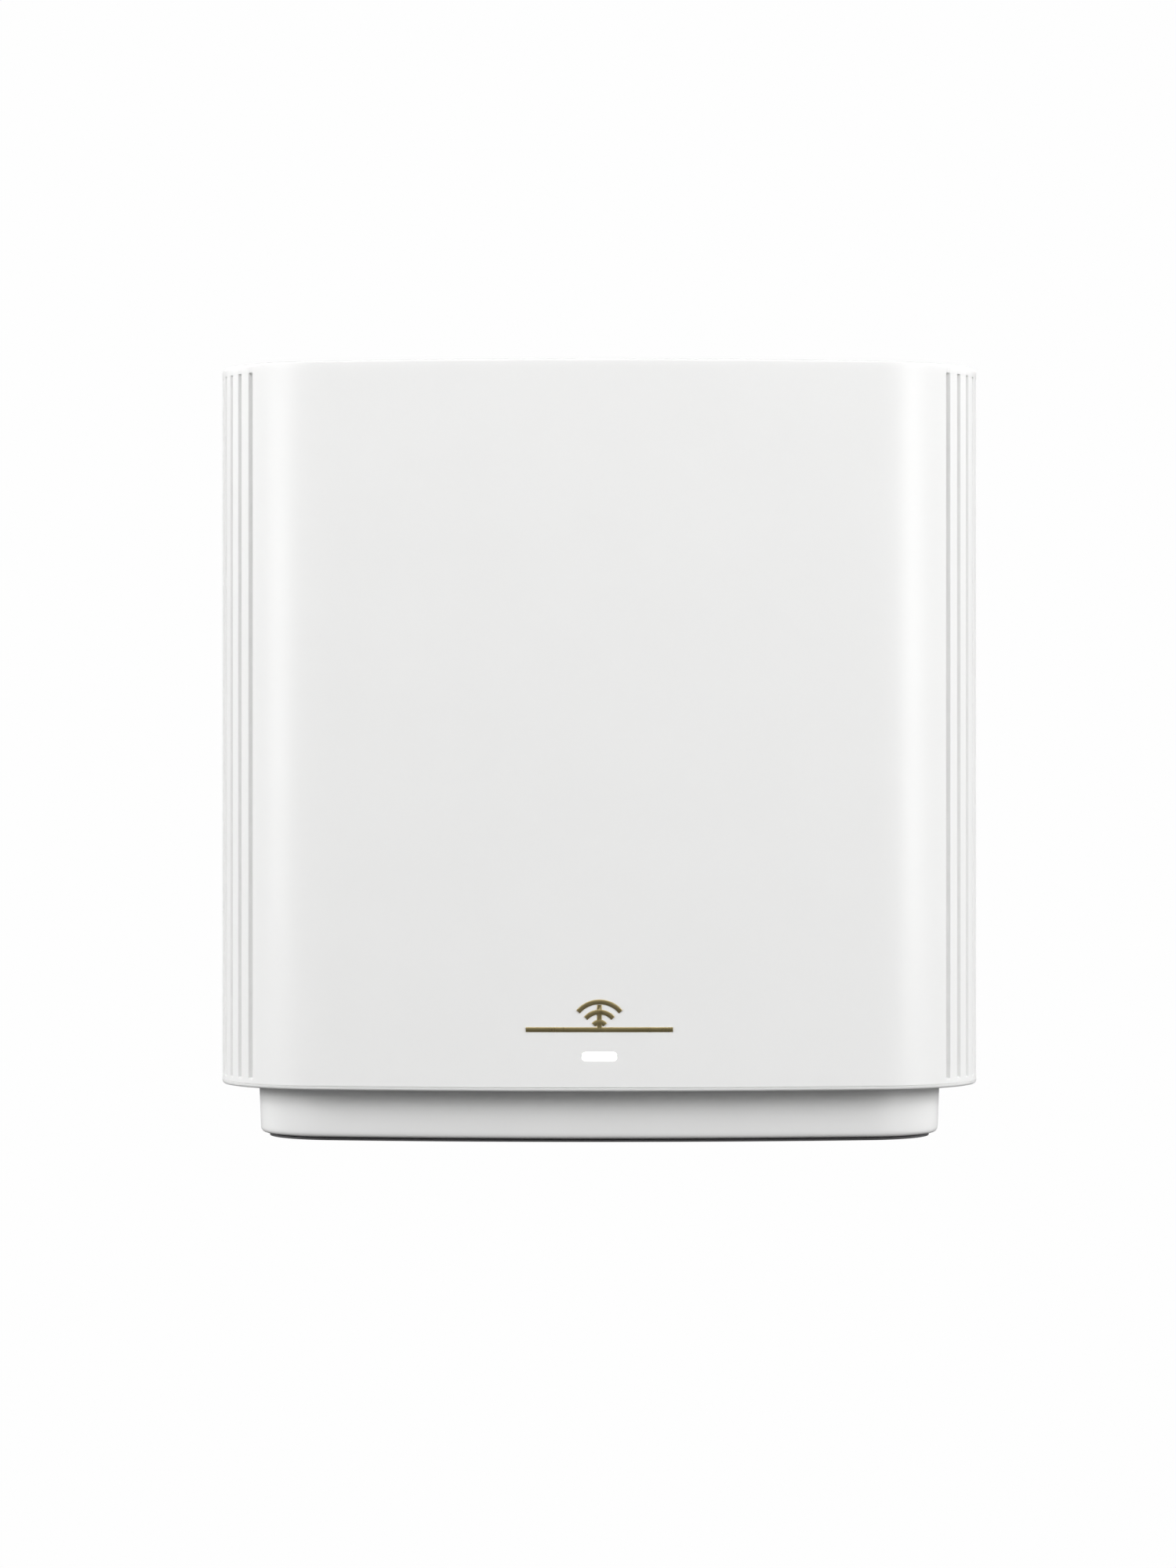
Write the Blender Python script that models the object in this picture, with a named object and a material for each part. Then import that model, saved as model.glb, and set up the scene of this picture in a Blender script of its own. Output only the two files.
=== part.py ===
"""A free-standing wireless router: a wide, shallow white housing with fluted ends on a set-back base.

Metres, +Z up. The origin is the middle of the underside of the rubber foot, the front faces -Y, and
+X is to the right when the front is looked at. Every piece is one object. Pieces that touch on the
real product keep GAP between their meshes.
"""

import math

import bmesh
import bpy

GAP = 0.0003  # between the meshes of two pieces that touch
EDGE = 0.0004  # the bevel on small visible rims

# The housing, seen from above, is a rectangle with bulging sides: three arcs to each quarter.
WIDTH = 0.1599
DEPTH = 0.0750
HEIGHT = 0.1615
FRONT_RADIUS = 0.355
SIDE_RADIUS = 0.150
CORNER_RADIUS = 0.026
BODY_BOTTOM = 0.0111
SLEEVE_WALL = 0.0022
TOP_EDGE_RADIUS = 0.0008
BOTTOM_CHAMFER = 0.0004
LIP_THICKNESS = 0.0015
LIP_INSET = 0.0040

GROOVES_EACH_WAY = 7  # on each end, from the middle groove towards the front and towards the back
GROOVE_PITCH = 0.003857
GROOVE_WIDTH = 0.0014
GROOVE_DEPTH = 0.0008
GROOVE_MARGIN = 0.0024  # plain band left above and below the grooves
GROOVE_RUN_OUT = 0.0006

TOP_RECESS = 0.0014
TOP_COVER_THICKNESS = 0.0020
VENT_WIDTH = 0.0020
VENT_LENGTH = 0.0150
VENT_PITCH = 0.0060
VENTS_EACH_WAY = 8
TOP_VENT_Y = 0.0140

# The base steps in under the housing.
BASE_INSET = 0.0077
BASE_WALL = 0.0020
BASE_TAPER = 0.0004
BASE_LEDGE = 0.0015
BASE_BOTTOM = 0.0007
BASE_EDGE = 0.0006
FLANGE_THICKNESS = 0.0020
PLATE_THICKNESS = 0.0020
FOOT_THICKNESS = 0.0016
FOOT_WIDTH = 0.0050
BASE_VENT_LENGTH = 0.0105
BASE_VENT_Y = 0.0095  # from the middle to the near end of the slots

# The row of sockets and buttons in the back.
PORT_Z = 0.0270
PORT_SPACING = 0.0032
LAN_SPACING = 0.0006
RECESS_DEPTH = 0.0090
PANEL_WALL = 0.0020
PANEL_MARGIN = 0.0015
COLLAR_WALL = 0.0016
JACK_LENGTH = 0.0192
JACK_WIDTH = 0.0159
JACK_HEIGHT = 0.0134
JACK_MOUTH = (0.0118, 0.0070)
JACK_NOTCH = (0.0062, 0.0024)
JACK_CAVITY = 0.0130
CONTACTS = 8
CONTACT_PITCH = 0.00102
CONTACT_WIDTH = 0.0005
CONTACT_THICKNESS = 0.00035
CONTACT_BAR = 0.0012
CONTACT_SETBACK = 0.0020
CONTACT_SLOPE = 0.10
USB_WIDTH = 0.0133
USB_HEIGHT = 0.0059
USB_WALL = 0.0004
USB_CAVITY = 0.0120
TONGUE_WIDTH = 0.0111
TONGUE_THICKNESS = 0.0018
TONGUE_DROP = 0.0006
TONGUE_SETBACK = 0.0030
DC_WIDTH = 0.0096
DC_HEIGHT = 0.0110
DC_BORE_RADIUS = 0.00315
DC_BORE_DEPTH = 0.0098
DC_PIN_RADIUS = 0.0010
DC_PIN_SETBACK = 0.0008

# The buttons and their switches.
POWER_CAP_RADIUS = 0.0040
POWER_CAP_PROUD = 0.0020
POWER_CAP_LENGTH = 0.0087
POWER_TRAVEL = 0.0020
POWER_SWITCH_SIDE = 0.0080
POWER_SWITCH_LENGTH = 0.0100
PLUNGER_SIDE = 0.0024
PLUNGER_IN_SWITCH = 0.0040
CAP_SOCKET_DEPTH = 0.0030
WPS_CAP_RADIUS = 0.0026
WPS_CAP_PROUD = 0.0011
WPS_CAP_LENGTH = 0.0090
WPS_STEM_RADIUS = 0.0015
TACT_TRAVEL = 0.0004
TACT_SIDE = 0.0060
TACT_HEIGHT = 0.0035
TACT_PLUNGER_RADIUS = 0.0017
TACT_PLUNGER_PROUD = 0.0015
TACT_PLUNGER_SUNK = 0.0018
WPS_Z = PORT_Z + 0.0036
RESET_Z = PORT_Z - 0.0038
RESET_STEM_RADIUS = 0.0010
RESET_HOLE_RADIUS = 0.0009
RESET_SETBACK = 0.0030

# The board stands upright, screwed to a frame that stands on the base.
BOARD_THICKNESS = 0.0016
BOARD_SIDE_MARGIN = 0.0035
FRAME_SIDE_GAP = 0.0070
FRAME_BAR = 0.0090
FRAME_DEPTH = 0.0051
FRAME_TOE = 0.0035
SCREW_RADIUS = 0.0015
SCREW_HEAD_RADIUS = 0.0027
SCREW_HEAD = 0.0013
SHIELD_HEIGHT = 0.0025
PROCESSOR_SHIELD = (0.0400, 0.0340)
PROCESSOR_X = -0.0020
RADIO_SHIELD = (0.0340, 0.0440)
PAD_MARGIN = 0.0040
PAD_THICKNESS = 0.0009
SINK_BASE = 0.0025
SINK_FIN_HEIGHT = 0.0095
SINK_FIN_THICKNESS = 0.0014
SINK_FINS = 13
SINK_SIDE_GAP = 0.0050
SINK_TOP_GAP = 0.0070
SINK_ABOVE_PORTS = 0.0110
SINK_SCREW_INSET = 0.0060
AERIAL_THICKNESS = 0.0010
AERIAL_LENGTH = 0.0400
TOP_AERIAL_LENGTH = 0.0320
AERIAL_WIDTH = 0.0120
COAX_RADIUS = 0.0006

BOARD_SCREW_LENGTH = 0.0060
BASE_SCREW_INSETS = (0.0100, 0.0460)  # from the ends of the frame
BASE_SCREW_REACH = 0.0055  # how far the base screws go into the frame
SIDE_AERIAL_Z = 0.1000
TOP_AERIAL_X = 0.0200
LAN_TRANSFORMER = (0.0300, 0.0090)
WAN_TRANSFORMER = (0.0130, 0.0090)
TRANSFORMER_HEIGHT = 0.0050
CAPACITOR_RADIUS = 0.0038
CAPACITOR_HEIGHT = 0.0090
CAPACITOR_PITCH = 0.0100
PARTS_ABOVE_PORTS = 0.0080  # the transformers and capacitors sit this far above the middle of the ports
AERIAL_SOCKET_SIDE = 0.0030
AERIAL_SOCKET_HEIGHT = 0.0015
LIGHT_HEADER = (0.0060, 0.0040)
HEADER_HEIGHT = 0.0035
LIGHT_LEAD_X = -0.0040

# The front badge and the status light.
BADGE_Z = 0.0267
BADGE_WIDTH = 0.0305
BADGE_HEIGHT = 0.0067
BADGE_STROKE = 0.0010
BADGE_THICKNESS = 0.0004
BADGE_SINK = 0.0003
LIGHT_Z = 0.0183
LIGHT_WIDTH = 0.0072
LIGHT_HEIGHT = 0.0017
LIGHT_LENGTH = 0.0040
LED_SIZE = (0.0030, 0.0014)
LED_HEIGHT = 0.0007
LIGHT_BOARD_WIDTH = 0.0220
LIGHT_BOARD_THICKNESS = 0.0012
LIGHT_LEAD_RADIUS = 0.0008

# Levels and planes that follow from the sizes above.
FLANGE_BOTTOM = BODY_BOTTOM + LIP_THICKNESS + GAP
FLANGE_TOP = FLANGE_BOTTOM + FLANGE_THICKNESS
FRAME_BOTTOM = FLANGE_TOP + GAP
COVER_TOP = HEIGHT - TOP_RECESS
COVER_BOTTOM = COVER_TOP - TOP_COVER_THICKNESS
FRAME_TOP = COVER_BOTTOM - GAP
PLATE_BOTTOM = FOOT_THICKNESS + GAP
PLATE_TOP = PLATE_BOTTOM + PLATE_THICKNESS
PANEL_FACE = DEPTH / 2 - RECESS_DEPTH
BOARD_REAR = PANEL_FACE - JACK_LENGTH - GAP
BOARD_FRONT = BOARD_REAR - BOARD_THICKNESS
FRAME_FACE = BOARD_FRONT - GAP  # the board's side of the frame
FRAME_FRONT = FRAME_FACE - FRAME_DEPTH
FRAME_HALF = WIDTH / 2 - SLEEVE_WALL - FRAME_SIDE_GAP
OPENING_HALF = FRAME_HALF - FRAME_BAR
BOARD_HALF = FRAME_HALF - BOARD_SIDE_MARGIN
BOARD_BOTTOM = FRAME_BOTTOM + BOARD_SIDE_MARGIN
BOARD_TOP = FRAME_TOP - BOARD_SIDE_MARGIN
SINK_HALF = OPENING_HALF - SINK_SIDE_GAP
SINK_TOP = FRAME_TOP - FRAME_BAR - SINK_TOP_GAP
SINK_BOTTOM = PORT_Z + JACK_HEIGHT / 2 + SINK_ABOVE_PORTS
SINK_PITCH = 2 * (SINK_HALF - SINK_FIN_THICKNESS) / (SINK_FINS - 1)
FRAME_MIDDLE = (FRAME_FRONT + FRAME_FACE) / 2
LIGHT_HEADER_Z = FRAME_BOTTOM + FRAME_BAR + 0.0060
HOLE_RADIUS = SCREW_RADIUS + GAP


# ---- Meshes -------------------------------------------------------------------------------------


def finish(name, colour, roughness, metallic=0.0):
    """A Principled material."""
    made = bpy.data.materials.new(name)
    made.use_nodes = True
    shader = made.node_tree.nodes["Principled BSDF"]
    shader.inputs["Base Color"].default_value = (*colour, 1.0)
    shader.inputs["Roughness"].default_value = roughness
    shader.inputs["Metallic"].default_value = metallic
    return made


def add(name, mesh, material=None):
    """An object for a mesh. One with no material is a helper, which isn't part of the router."""
    thing = bpy.data.objects.new(name, mesh)
    bpy.context.scene.collection.objects.link(thing)
    if material:
        mesh.materials.append(material)
    else:
        thing.hide_render = True
        thing.display_type = "WIRE"
    return thing


def closed_mesh(name, build):
    """A mesh whose faces build(bm) makes, turned to point outwards."""
    bm = bmesh.new()
    build(bm)
    bmesh.ops.recalc_face_normals(bm, faces=bm.faces)
    mesh = bpy.data.meshes.new(name)
    bm.to_mesh(mesh)
    bm.free()
    return mesh


def smooth(thing, degrees=30):
    """Smooth shading on round surfaces, with their edges kept sharp."""
    thing.data.shade_smooth()
    thing.data.set_sharp_from_angle(angle=math.radians(degrees))
    return thing


def bridge(bm, first, second):
    count = len(first)
    for i in range(count):
        j = (i + 1) % count
        bm.faces.new((first[i], first[j], second[j], second[i]))


def skin(bm, rings, looped=False):
    """Faces over a row of rings of points, capped at both ends or looped back to the first ring."""
    loops = [[bm.verts.new(point) for point in ring] for ring in rings]
    for first, second in zip(loops, loops[1:]):
        bridge(bm, first, second)
    if looped:
        bridge(bm, loops[-1], loops[0])
    else:
        bm.faces.new(loops[0])
        bm.faces.new(reversed(loops[-1]))


def lofted(name, rings, material=None, looped=False):
    return smooth(add(name, closed_mesh(name, lambda bm: skin(bm, rings, looped)), material))


def box_rings(low, high):
    (x0, y0, z0), (x1, y1, z1) = low, high
    return [[(x0, y0, z), (x1, y0, z), (x1, y1, z), (x0, y1, z)] for z in (z0, z1)]


def boxes(name, spans, material=None):
    """One object of box-shaped solids, each given by two opposite corners."""

    def build(bm):
        for low, high in spans:
            skin(bm, box_rings(low, high))

    return add(name, closed_mesh(name, build), material)


def centred(x, z, width, height, y0, y1):
    """The two corners of a box that is centred on (x, z) and runs from y0 to y1."""
    return (x - width / 2, y0, z - height / 2), (x + width / 2, y1, z + height / 2)


def turned_rings(profile, base, axis, sides):
    """Rings round an axis through base, one for each (distance along it, radius) of the profile."""
    rings = []
    for along, radius in profile:
        ring = []
        for i in range(sides):
            angle = 2 * math.pi * i / sides
            u, v = radius * math.cos(angle), radius * math.sin(angle)
            offset = (u, along, v) if axis == "Y" else (u, v, along)
            ring.append(tuple(b + o for b, o in zip(base, offset)))
        rings.append(ring)
    return rings


def turned(name, profile, base, material=None, axis="Y", sides=20):
    """A turned solid, such as a pin, a screw or a round button."""
    return lofted(name, turned_rings(profile, base, axis, sides), material)


def drills(name, places, radius, start, end, axis="Y", sides=20):
    """A cutter of round holes through the given points, from start to end along the axis."""

    def build(bm):
        for x, y, z in places:
            base = (x, 0, z) if axis == "Y" else (x, y, 0)
            skin(bm, turned_rings([(start, radius), (end, radius)], base, axis, sides))

    return add(name, closed_mesh(name, build))


def extruded(name, outline, place, near, far, material=None):
    """A flat outline of (u, v) points given depth, where place(u, v, w) puts each point in space."""
    rings = [[place(u, v, w) for u, v in outline] for w in (near, far)]
    return add(name, closed_mesh(name, lambda bm: skin(bm, rings)), material)


def boolean(thing, other, operation):
    step = thing.modifiers.new(f"{operation.title()} {other.name}", "BOOLEAN")
    step.operation = operation
    step.solver = "EXACT"
    step.object = other


def cut(thing, *cutters):
    for cutter in cutters:
        boolean(thing, cutter, "DIFFERENCE")
    return thing


def join(thing, *helpers):
    for helper in helpers:
        boolean(thing, helper, "UNION")
    return thing


# ---- The housing's outline ------------------------------------------------------------------------


def arc_centres():
    """The centres of the side, corner and front arcs of the +X +Y quarter, which meet smoothly."""
    side = (WIDTH / 2 - SIDE_RADIUS, 0.0)
    front = (0.0, DEPTH / 2 - FRONT_RADIUS)
    to_side, to_front = SIDE_RADIUS - CORNER_RADIUS, FRONT_RADIUS - CORNER_RADIUS
    dx, dy = front[0] - side[0], front[1] - side[1]
    apart = math.hypot(dx, dy)
    along = (to_side**2 - to_front**2 + apart**2) / (2 * apart)
    off = math.sqrt(to_side**2 - along**2)
    corner = (side[0] + (along * dx - off * dy) / apart, side[1] + (along * dy + off * dx) / apart)
    return side, corner, front


SIDE_CENTRE, CORNER_CENTRE, FRONT_CENTRE = arc_centres()
SIDE_TURN = math.atan2(CORNER_CENTRE[1] - SIDE_CENTRE[1], CORNER_CENTRE[0] - SIDE_CENTRE[0])
FRONT_TURN = math.atan2(CORNER_CENTRE[1] - FRONT_CENTRE[1], CORNER_CENTRE[0] - FRONT_CENTRE[0])


def facing(along):
    """The angle that the outline faces, at a distance along it from the middle of the side."""
    side_length = SIDE_RADIUS * SIDE_TURN
    if along < side_length:
        return along / SIDE_RADIUS
    return SIDE_TURN + (along - side_length) / CORNER_RADIUS


def outline_point(angle, inset):
    """The point of the quarter outline that faces this way, moved inwards by inset."""
    if angle < SIDE_TURN:
        centre, radius = SIDE_CENTRE, SIDE_RADIUS
    elif angle < FRONT_TURN:
        centre, radius = CORNER_CENTRE, CORNER_RADIUS
    else:
        centre, radius = FRONT_CENTRE, FRONT_RADIUS
    reach = radius - inset
    return centre[0] + reach * math.cos(angle), centre[1] + reach * math.sin(angle)


def spread(start, end, count):
    """Angles that part a stretch into count equal steps, with its end but not its start."""
    return [start + (end - start) * (i + 1) / count for i in range(count)]


def plain_quarter():
    """Where the outline has a point in a quarter, as (angle, groove depth share)."""
    corner = spread(SIDE_TURN, FRONT_TURN, 8)
    front = spread(FRONT_TURN, math.pi / 2, 6)
    return [(angle, 0) for angle in [0.0, SIDE_TURN, *corner, *front]]


def fluted_quarter():
    """As plain_quarter, with a point at both edges and at the bottom of each groove."""
    found = [(0.0, 1)]
    for number in range(GROOVES_EACH_WAY + 1):
        middle = number * GROOVE_PITCH
        if number:
            found += [(facing(middle - GROOVE_WIDTH / 2), 0), (facing(middle), 1)]
        found.append((facing(middle + GROOVE_WIDTH / 2), 0))
    last = found[-1][0]
    rest = spread(last, FRONT_TURN, 4) + spread(FRONT_TURN, math.pi / 2, 6)
    return found + [(angle, 0) for angle in rest]


PLAIN, FLUTED = plain_quarter(), fluted_quarter()


def ring(quarter, inset, z, grooved=False):
    """The whole outline at one level: a quarter, mirrored over Y and over X."""
    points = [outline_point(angle, inset + GROOVE_DEPTH * deep * grooved) for angle, deep in quarter]
    half = points + [(-x, y) for x, y in reversed(points[:-1])]
    whole = half + [(x, -y) for x, y in reversed(half[1:-1])]
    return [(x, y, z) for x, y in whole]


def plain_rings(profile):
    return [ring(PLAIN, inset, z) for inset, z in profile]


# ---- The row of sockets and buttons -----------------------------------------------------------------

ROW_GROUPS = (  # from the +X end, which is the left one when the back is looked at
    (("power_button", 2 * POWER_CAP_RADIUS),),
    (("dc_jack", DC_WIDTH),),
    (("usb_shell", USB_WIDTH),),
    (("wan", JACK_WIDTH),),
    (("lan_1", JACK_WIDTH), ("lan_2", JACK_WIDTH), ("lan_3", JACK_WIDTH)),
    (("tact", TACT_SIDE),),
)


def row_places():
    """The X position of each socket and button, and half the length of the row."""
    gaps = sum(LAN_SPACING * (len(group) - 1) for group in ROW_GROUPS)
    length = gaps + PORT_SPACING * (len(ROW_GROUPS) - 1)
    length += sum(width for group in ROW_GROUPS for _, width in group)
    places, x = {}, length / 2
    for group in ROW_GROUPS:
        for name, width in group:
            places[name] = x - width / 2
            x -= width + LAN_SPACING
        x -= PORT_SPACING - LAN_SPACING
    return places, length / 2


PLACES, ROW_HALF = row_places()
NETWORK_JACKS = {"wan_jack": "wan", "lan_jack_1": "lan_1", "lan_jack_2": "lan_2", "lan_jack_3": "lan_3"}
RECESS_WIDTH = 2 * (ROW_HALF + PANEL_MARGIN)
RECESS_HEIGHT = JACK_HEIGHT + 2 * PANEL_MARGIN
COLLAR_WIDTH = RECESS_WIDTH + 2 * COLLAR_WALL
COLLAR_HEIGHT = RECESS_HEIGHT + 2 * COLLAR_WALL
SCREW_X = (OPENING_HALF + BOARD_HALF) / 2
SINK_CHANNEL = SINK_PITCH * (SINK_FINS - 2) / 2  # the middle of the gap between the last two fins
SINK_SCREWS = [
    (-SINK_CHANNEL, SINK_BOTTOM + SINK_SCREW_INSET),
    (SINK_CHANNEL, SINK_TOP - SINK_SCREW_INSET),
]
BASE_SCREW_X = [side * (FRAME_HALF - inset) for side in (-1, 1) for inset in BASE_SCREW_INSETS]


# ---- Finishes ---------------------------------------------------------------------------------------


def make_finishes():
    return {
        "shell": finish("shell", (0.83, 0.83, 0.82), 0.32),
        "base": finish("base", (0.80, 0.80, 0.79), 0.40),
        "foot": finish("foot", (0.05, 0.05, 0.055), 0.85),
        "badge": finish("badge", (0.62, 0.52, 0.30), 0.30, 1.0),
        "light": finish("light", (0.98, 0.98, 0.97), 0.25),
        "panel": finish("panel", (0.78, 0.78, 0.77), 0.45),
        "button": finish("button", (0.60, 0.60, 0.60), 0.40),
        "black": finish("black", (0.03, 0.03, 0.03), 0.50),
        "frame": finish("frame", (0.12, 0.12, 0.12), 0.60),
        "board": finish("board", (0.02, 0.13, 0.08), 0.45),
        "tin": finish("tin", (0.72, 0.72, 0.70), 0.30, 1.0),
        "sink": finish("sink", (0.62, 0.63, 0.64), 0.45, 1.0),
        "pad": finish("pad", (0.45, 0.50, 0.58), 0.80),
        "gold": finish("gold", (0.85, 0.65, 0.30), 0.25, 1.0),
        "wan": finish("wan", (0.04, 0.16, 0.50), 0.45),
        "steel": finish("steel", (0.50, 0.50, 0.50), 0.35, 1.0),
        "cable": finish("cable", (0.06, 0.06, 0.06), 0.55),
    }


# ---- Housing ----------------------------------------------------------------------------------------


def make_outer_sleeve(look):
    low, high = BODY_BOTTOM, HEIGHT
    fluted = low + GROOVE_MARGIN, high - GROOVE_MARGIN
    shoulder = TOP_EDGE_RADIUS * (1 - math.sqrt(0.5))
    profile = (
        (BOTTOM_CHAMFER, low, False),
        (0.0, low + BOTTOM_CHAMFER, False),
        (0.0, fluted[0], False),
        (0.0, fluted[0] + GROOVE_RUN_OUT, True),
        (0.0, fluted[1] - GROOVE_RUN_OUT, True),
        (0.0, fluted[1], False),
        (0.0, high - TOP_EDGE_RADIUS, False),
        (shoulder, high - shoulder, False),
        (TOP_EDGE_RADIUS, high, False),
        (SLEEVE_WALL, high, False),
        (SLEEVE_WALL, low + LIP_THICKNESS, False),
        (LIP_INSET, low + LIP_THICKNESS, False),
        (LIP_INSET, low, False),
    )
    rings = [ring(FLUTED, inset, z, grooved) for inset, z, grooved in profile]
    sleeve = lofted("outer_sleeve", rings, look["shell"], looped=True)
    window = centred(0, PORT_Z, COLLAR_WIDTH + 2 * GAP, COLLAR_HEIGHT + 2 * GAP, 0, DEPTH)
    front = -DEPTH / 2
    badge_floor = front + BADGE_SINK + GAP
    pocket = centred(
        0, BADGE_Z, BADGE_WIDTH + 2 * GAP, BADGE_HEIGHT + 2 * GAP, front - SLEEVE_WALL, badge_floor
    )
    slot_size = LIGHT_WIDTH + 2 * GAP, LIGHT_HEIGHT + 2 * GAP
    slot = centred(0, LIGHT_Z, *slot_size, front - SLEEVE_WALL, front + 2 * SLEEVE_WALL)
    return cut(sleeve, boxes("sleeve_cutter", [window, pocket, slot]))


def make_top_cover(look):
    inset = SLEEVE_WALL + GAP
    chamfer = GAP
    profile = ((inset, COVER_BOTTOM), (inset, COVER_TOP - chamfer), (inset + chamfer, COVER_TOP))
    cover = lofted("top_cover", plain_rings(profile), look["shell"])
    return cut(cover, vent_cutter("top_vents", TOP_VENT_Y, VENT_LENGTH, COVER_BOTTOM, COVER_TOP))


def vent_cutter(name, y_middle, length, low, high):
    """Two rows of slots that run front to back, one row on each side of the middle."""
    spans = []
    for number in range(-VENTS_EACH_WAY, VENTS_EACH_WAY + 1):
        x = number * VENT_PITCH
        for side in (-1, 1):
            y = side * y_middle
            corner = x - VENT_WIDTH / 2, y - length / 2, low - VENT_WIDTH
            spans.append((corner, (x + VENT_WIDTH / 2, y + length / 2, high + VENT_WIDTH)))
    return boxes(name, spans)


def strokes(name, spans, y0, y1, material=None):
    """Flat upright pieces, each given by its (x, z) outline."""

    def build(bm):
        for outline in spans:
            skin(bm, [[(x, y, z) for x, z in outline] for y in (y0, y1)])

    return add(name, closed_mesh(name, build), material)


def make_badge(look):
    """A plain sign for a radio mast: a base line, a mast and three waves."""
    back = -DEPTH / 2 + BADGE_SINK
    front = back - BADGE_THICKNESS
    low, half = BADGE_Z - BADGE_HEIGHT / 2, BADGE_STROKE / 2
    line = [(-BADGE_WIDTH / 2, low), (BADGE_WIDTH / 2, low)]
    line += [(BADGE_WIDTH / 2, low + BADGE_STROKE), (-BADGE_WIDTH / 2, low + BADGE_STROKE)]
    badge = strokes("badge", [line], front, back, look["badge"])
    mast_top = low + BADGE_HEIGHT - BADGE_STROKE
    mast = [(-half, low + half), (half, low + half), (half, mast_top), (-half, mast_top)]
    join(badge, strokes("badge_mast", [mast], front, back))
    for number in (1, 2, 3):
        outer = BADGE_HEIGHT * number / 3
        angles = [math.radians(40 + 100 * i / 10) for i in range(11)]
        arc = [(outer * math.cos(a), low + outer * math.sin(a)) for a in angles]
        inner = outer - BADGE_STROKE
        arc += [(inner * math.cos(a), low + inner * math.sin(a)) for a in reversed(angles)]
        join(badge, strokes(f"badge_wave_{number}", [arc], front, back))
    return badge


def make_status_light(look):
    face = -DEPTH / 2
    inner = face + LIGHT_LENGTH
    boxes("status_lens", [centred(0, LIGHT_Z, LIGHT_WIDTH, LIGHT_HEIGHT, face, inner)], look["light"])
    chip = centred(0, LIGHT_Z, *LED_SIZE, inner + GAP, inner + GAP + LED_HEIGHT)
    boxes("status_led", [chip], look["light"])
    rear = chip[1][1] + GAP
    back = rear + LIGHT_BOARD_THICKNESS
    top = 2 * LIGHT_Z - FRAME_BOTTOM
    half = LIGHT_BOARD_WIDTH / 2
    boxes("light_board", [((-half, rear, FRAME_BOTTOM), (half, back, top))], look["board"])
    x, far = LIGHT_LEAD_X, LIGHT_HEADER_Z
    route = [
        (x, back + GAP, LIGHT_Z),
        (x, back + 0.004, LIGHT_Z),
        (x, back + 0.014, LIGHT_Z + 0.004),
        (x, FRAME_FRONT - 0.012, far - 0.002),
        (x, FRAME_FRONT - 0.004, far),
        (x, BOARD_FRONT - HEADER_HEIGHT - GAP, far),
    ]
    wire("light_lead", route, LIGHT_LEAD_RADIUS, look["cable"])


# ---- Base -------------------------------------------------------------------------------------------


def make_base_plinth(look):
    wall = BASE_INSET + BASE_WALL
    ledge = PLATE_TOP + GAP
    flange = SLEEVE_WALL + GAP
    lowest = BASE_INSET + BASE_TAPER
    profile = (
        (lowest + BASE_EDGE, BASE_BOTTOM),
        (lowest, BASE_BOTTOM + BASE_EDGE),
        (BASE_INSET, FLANGE_BOTTOM),
        (flange, FLANGE_BOTTOM),
        (flange, FLANGE_TOP),
        (wall + BASE_LEDGE, FLANGE_TOP),
        (wall + BASE_LEDGE, ledge),
        (wall, ledge),
        (wall, BASE_BOTTOM),
    )
    return lofted("base_plinth", plain_rings(profile), look["base"], looped=True)


def make_base_plate(look):
    inset = BASE_INSET + BASE_WALL + GAP
    plate = lofted("base_plate", plain_rings(((inset, PLATE_BOTTOM), (inset, PLATE_TOP))), look["base"])
    radius = SCREW_HEAD_RADIUS + 2 * GAP
    for number, x in enumerate(BASE_SCREW_X, 1):
        post = [(PLATE_BOTTOM + GAP, radius), (FLANGE_TOP, radius)]
        join(plate, turned(f"plate_post_{number}", post, (x, FRAME_MIDDLE, 0), axis="Z"))
    places = [(x, FRAME_MIDDLE, 0) for x in BASE_SCREW_X]
    cut(plate, drills("plate_holes", places, HOLE_RADIUS, 0, FRAME_BOTTOM, "Z"))
    sunk = PLATE_BOTTOM + SCREW_HEAD + GAP
    cut(plate, drills("plate_sinks", places, SCREW_HEAD_RADIUS + GAP, 0, sunk, "Z"))
    middle = BASE_VENT_Y + BASE_VENT_LENGTH / 2
    return cut(plate, vent_cutter("plate_vents", middle, BASE_VENT_LENGTH, PLATE_BOTTOM, PLATE_TOP))


def make_rubber_foot(look):
    outer = BASE_INSET + BASE_WALL + GAP
    inner = outer + FOOT_WIDTH
    profile = ((outer + GAP, 0), (outer, GAP), (outer, FOOT_THICKNESS), (inner, FOOT_THICKNESS), (inner, 0))
    return lofted("rubber_foot", plain_rings(profile), look["foot"], looped=True)


# ---- Back panel, sockets and buttons ----------------------------------------------------------------


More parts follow.
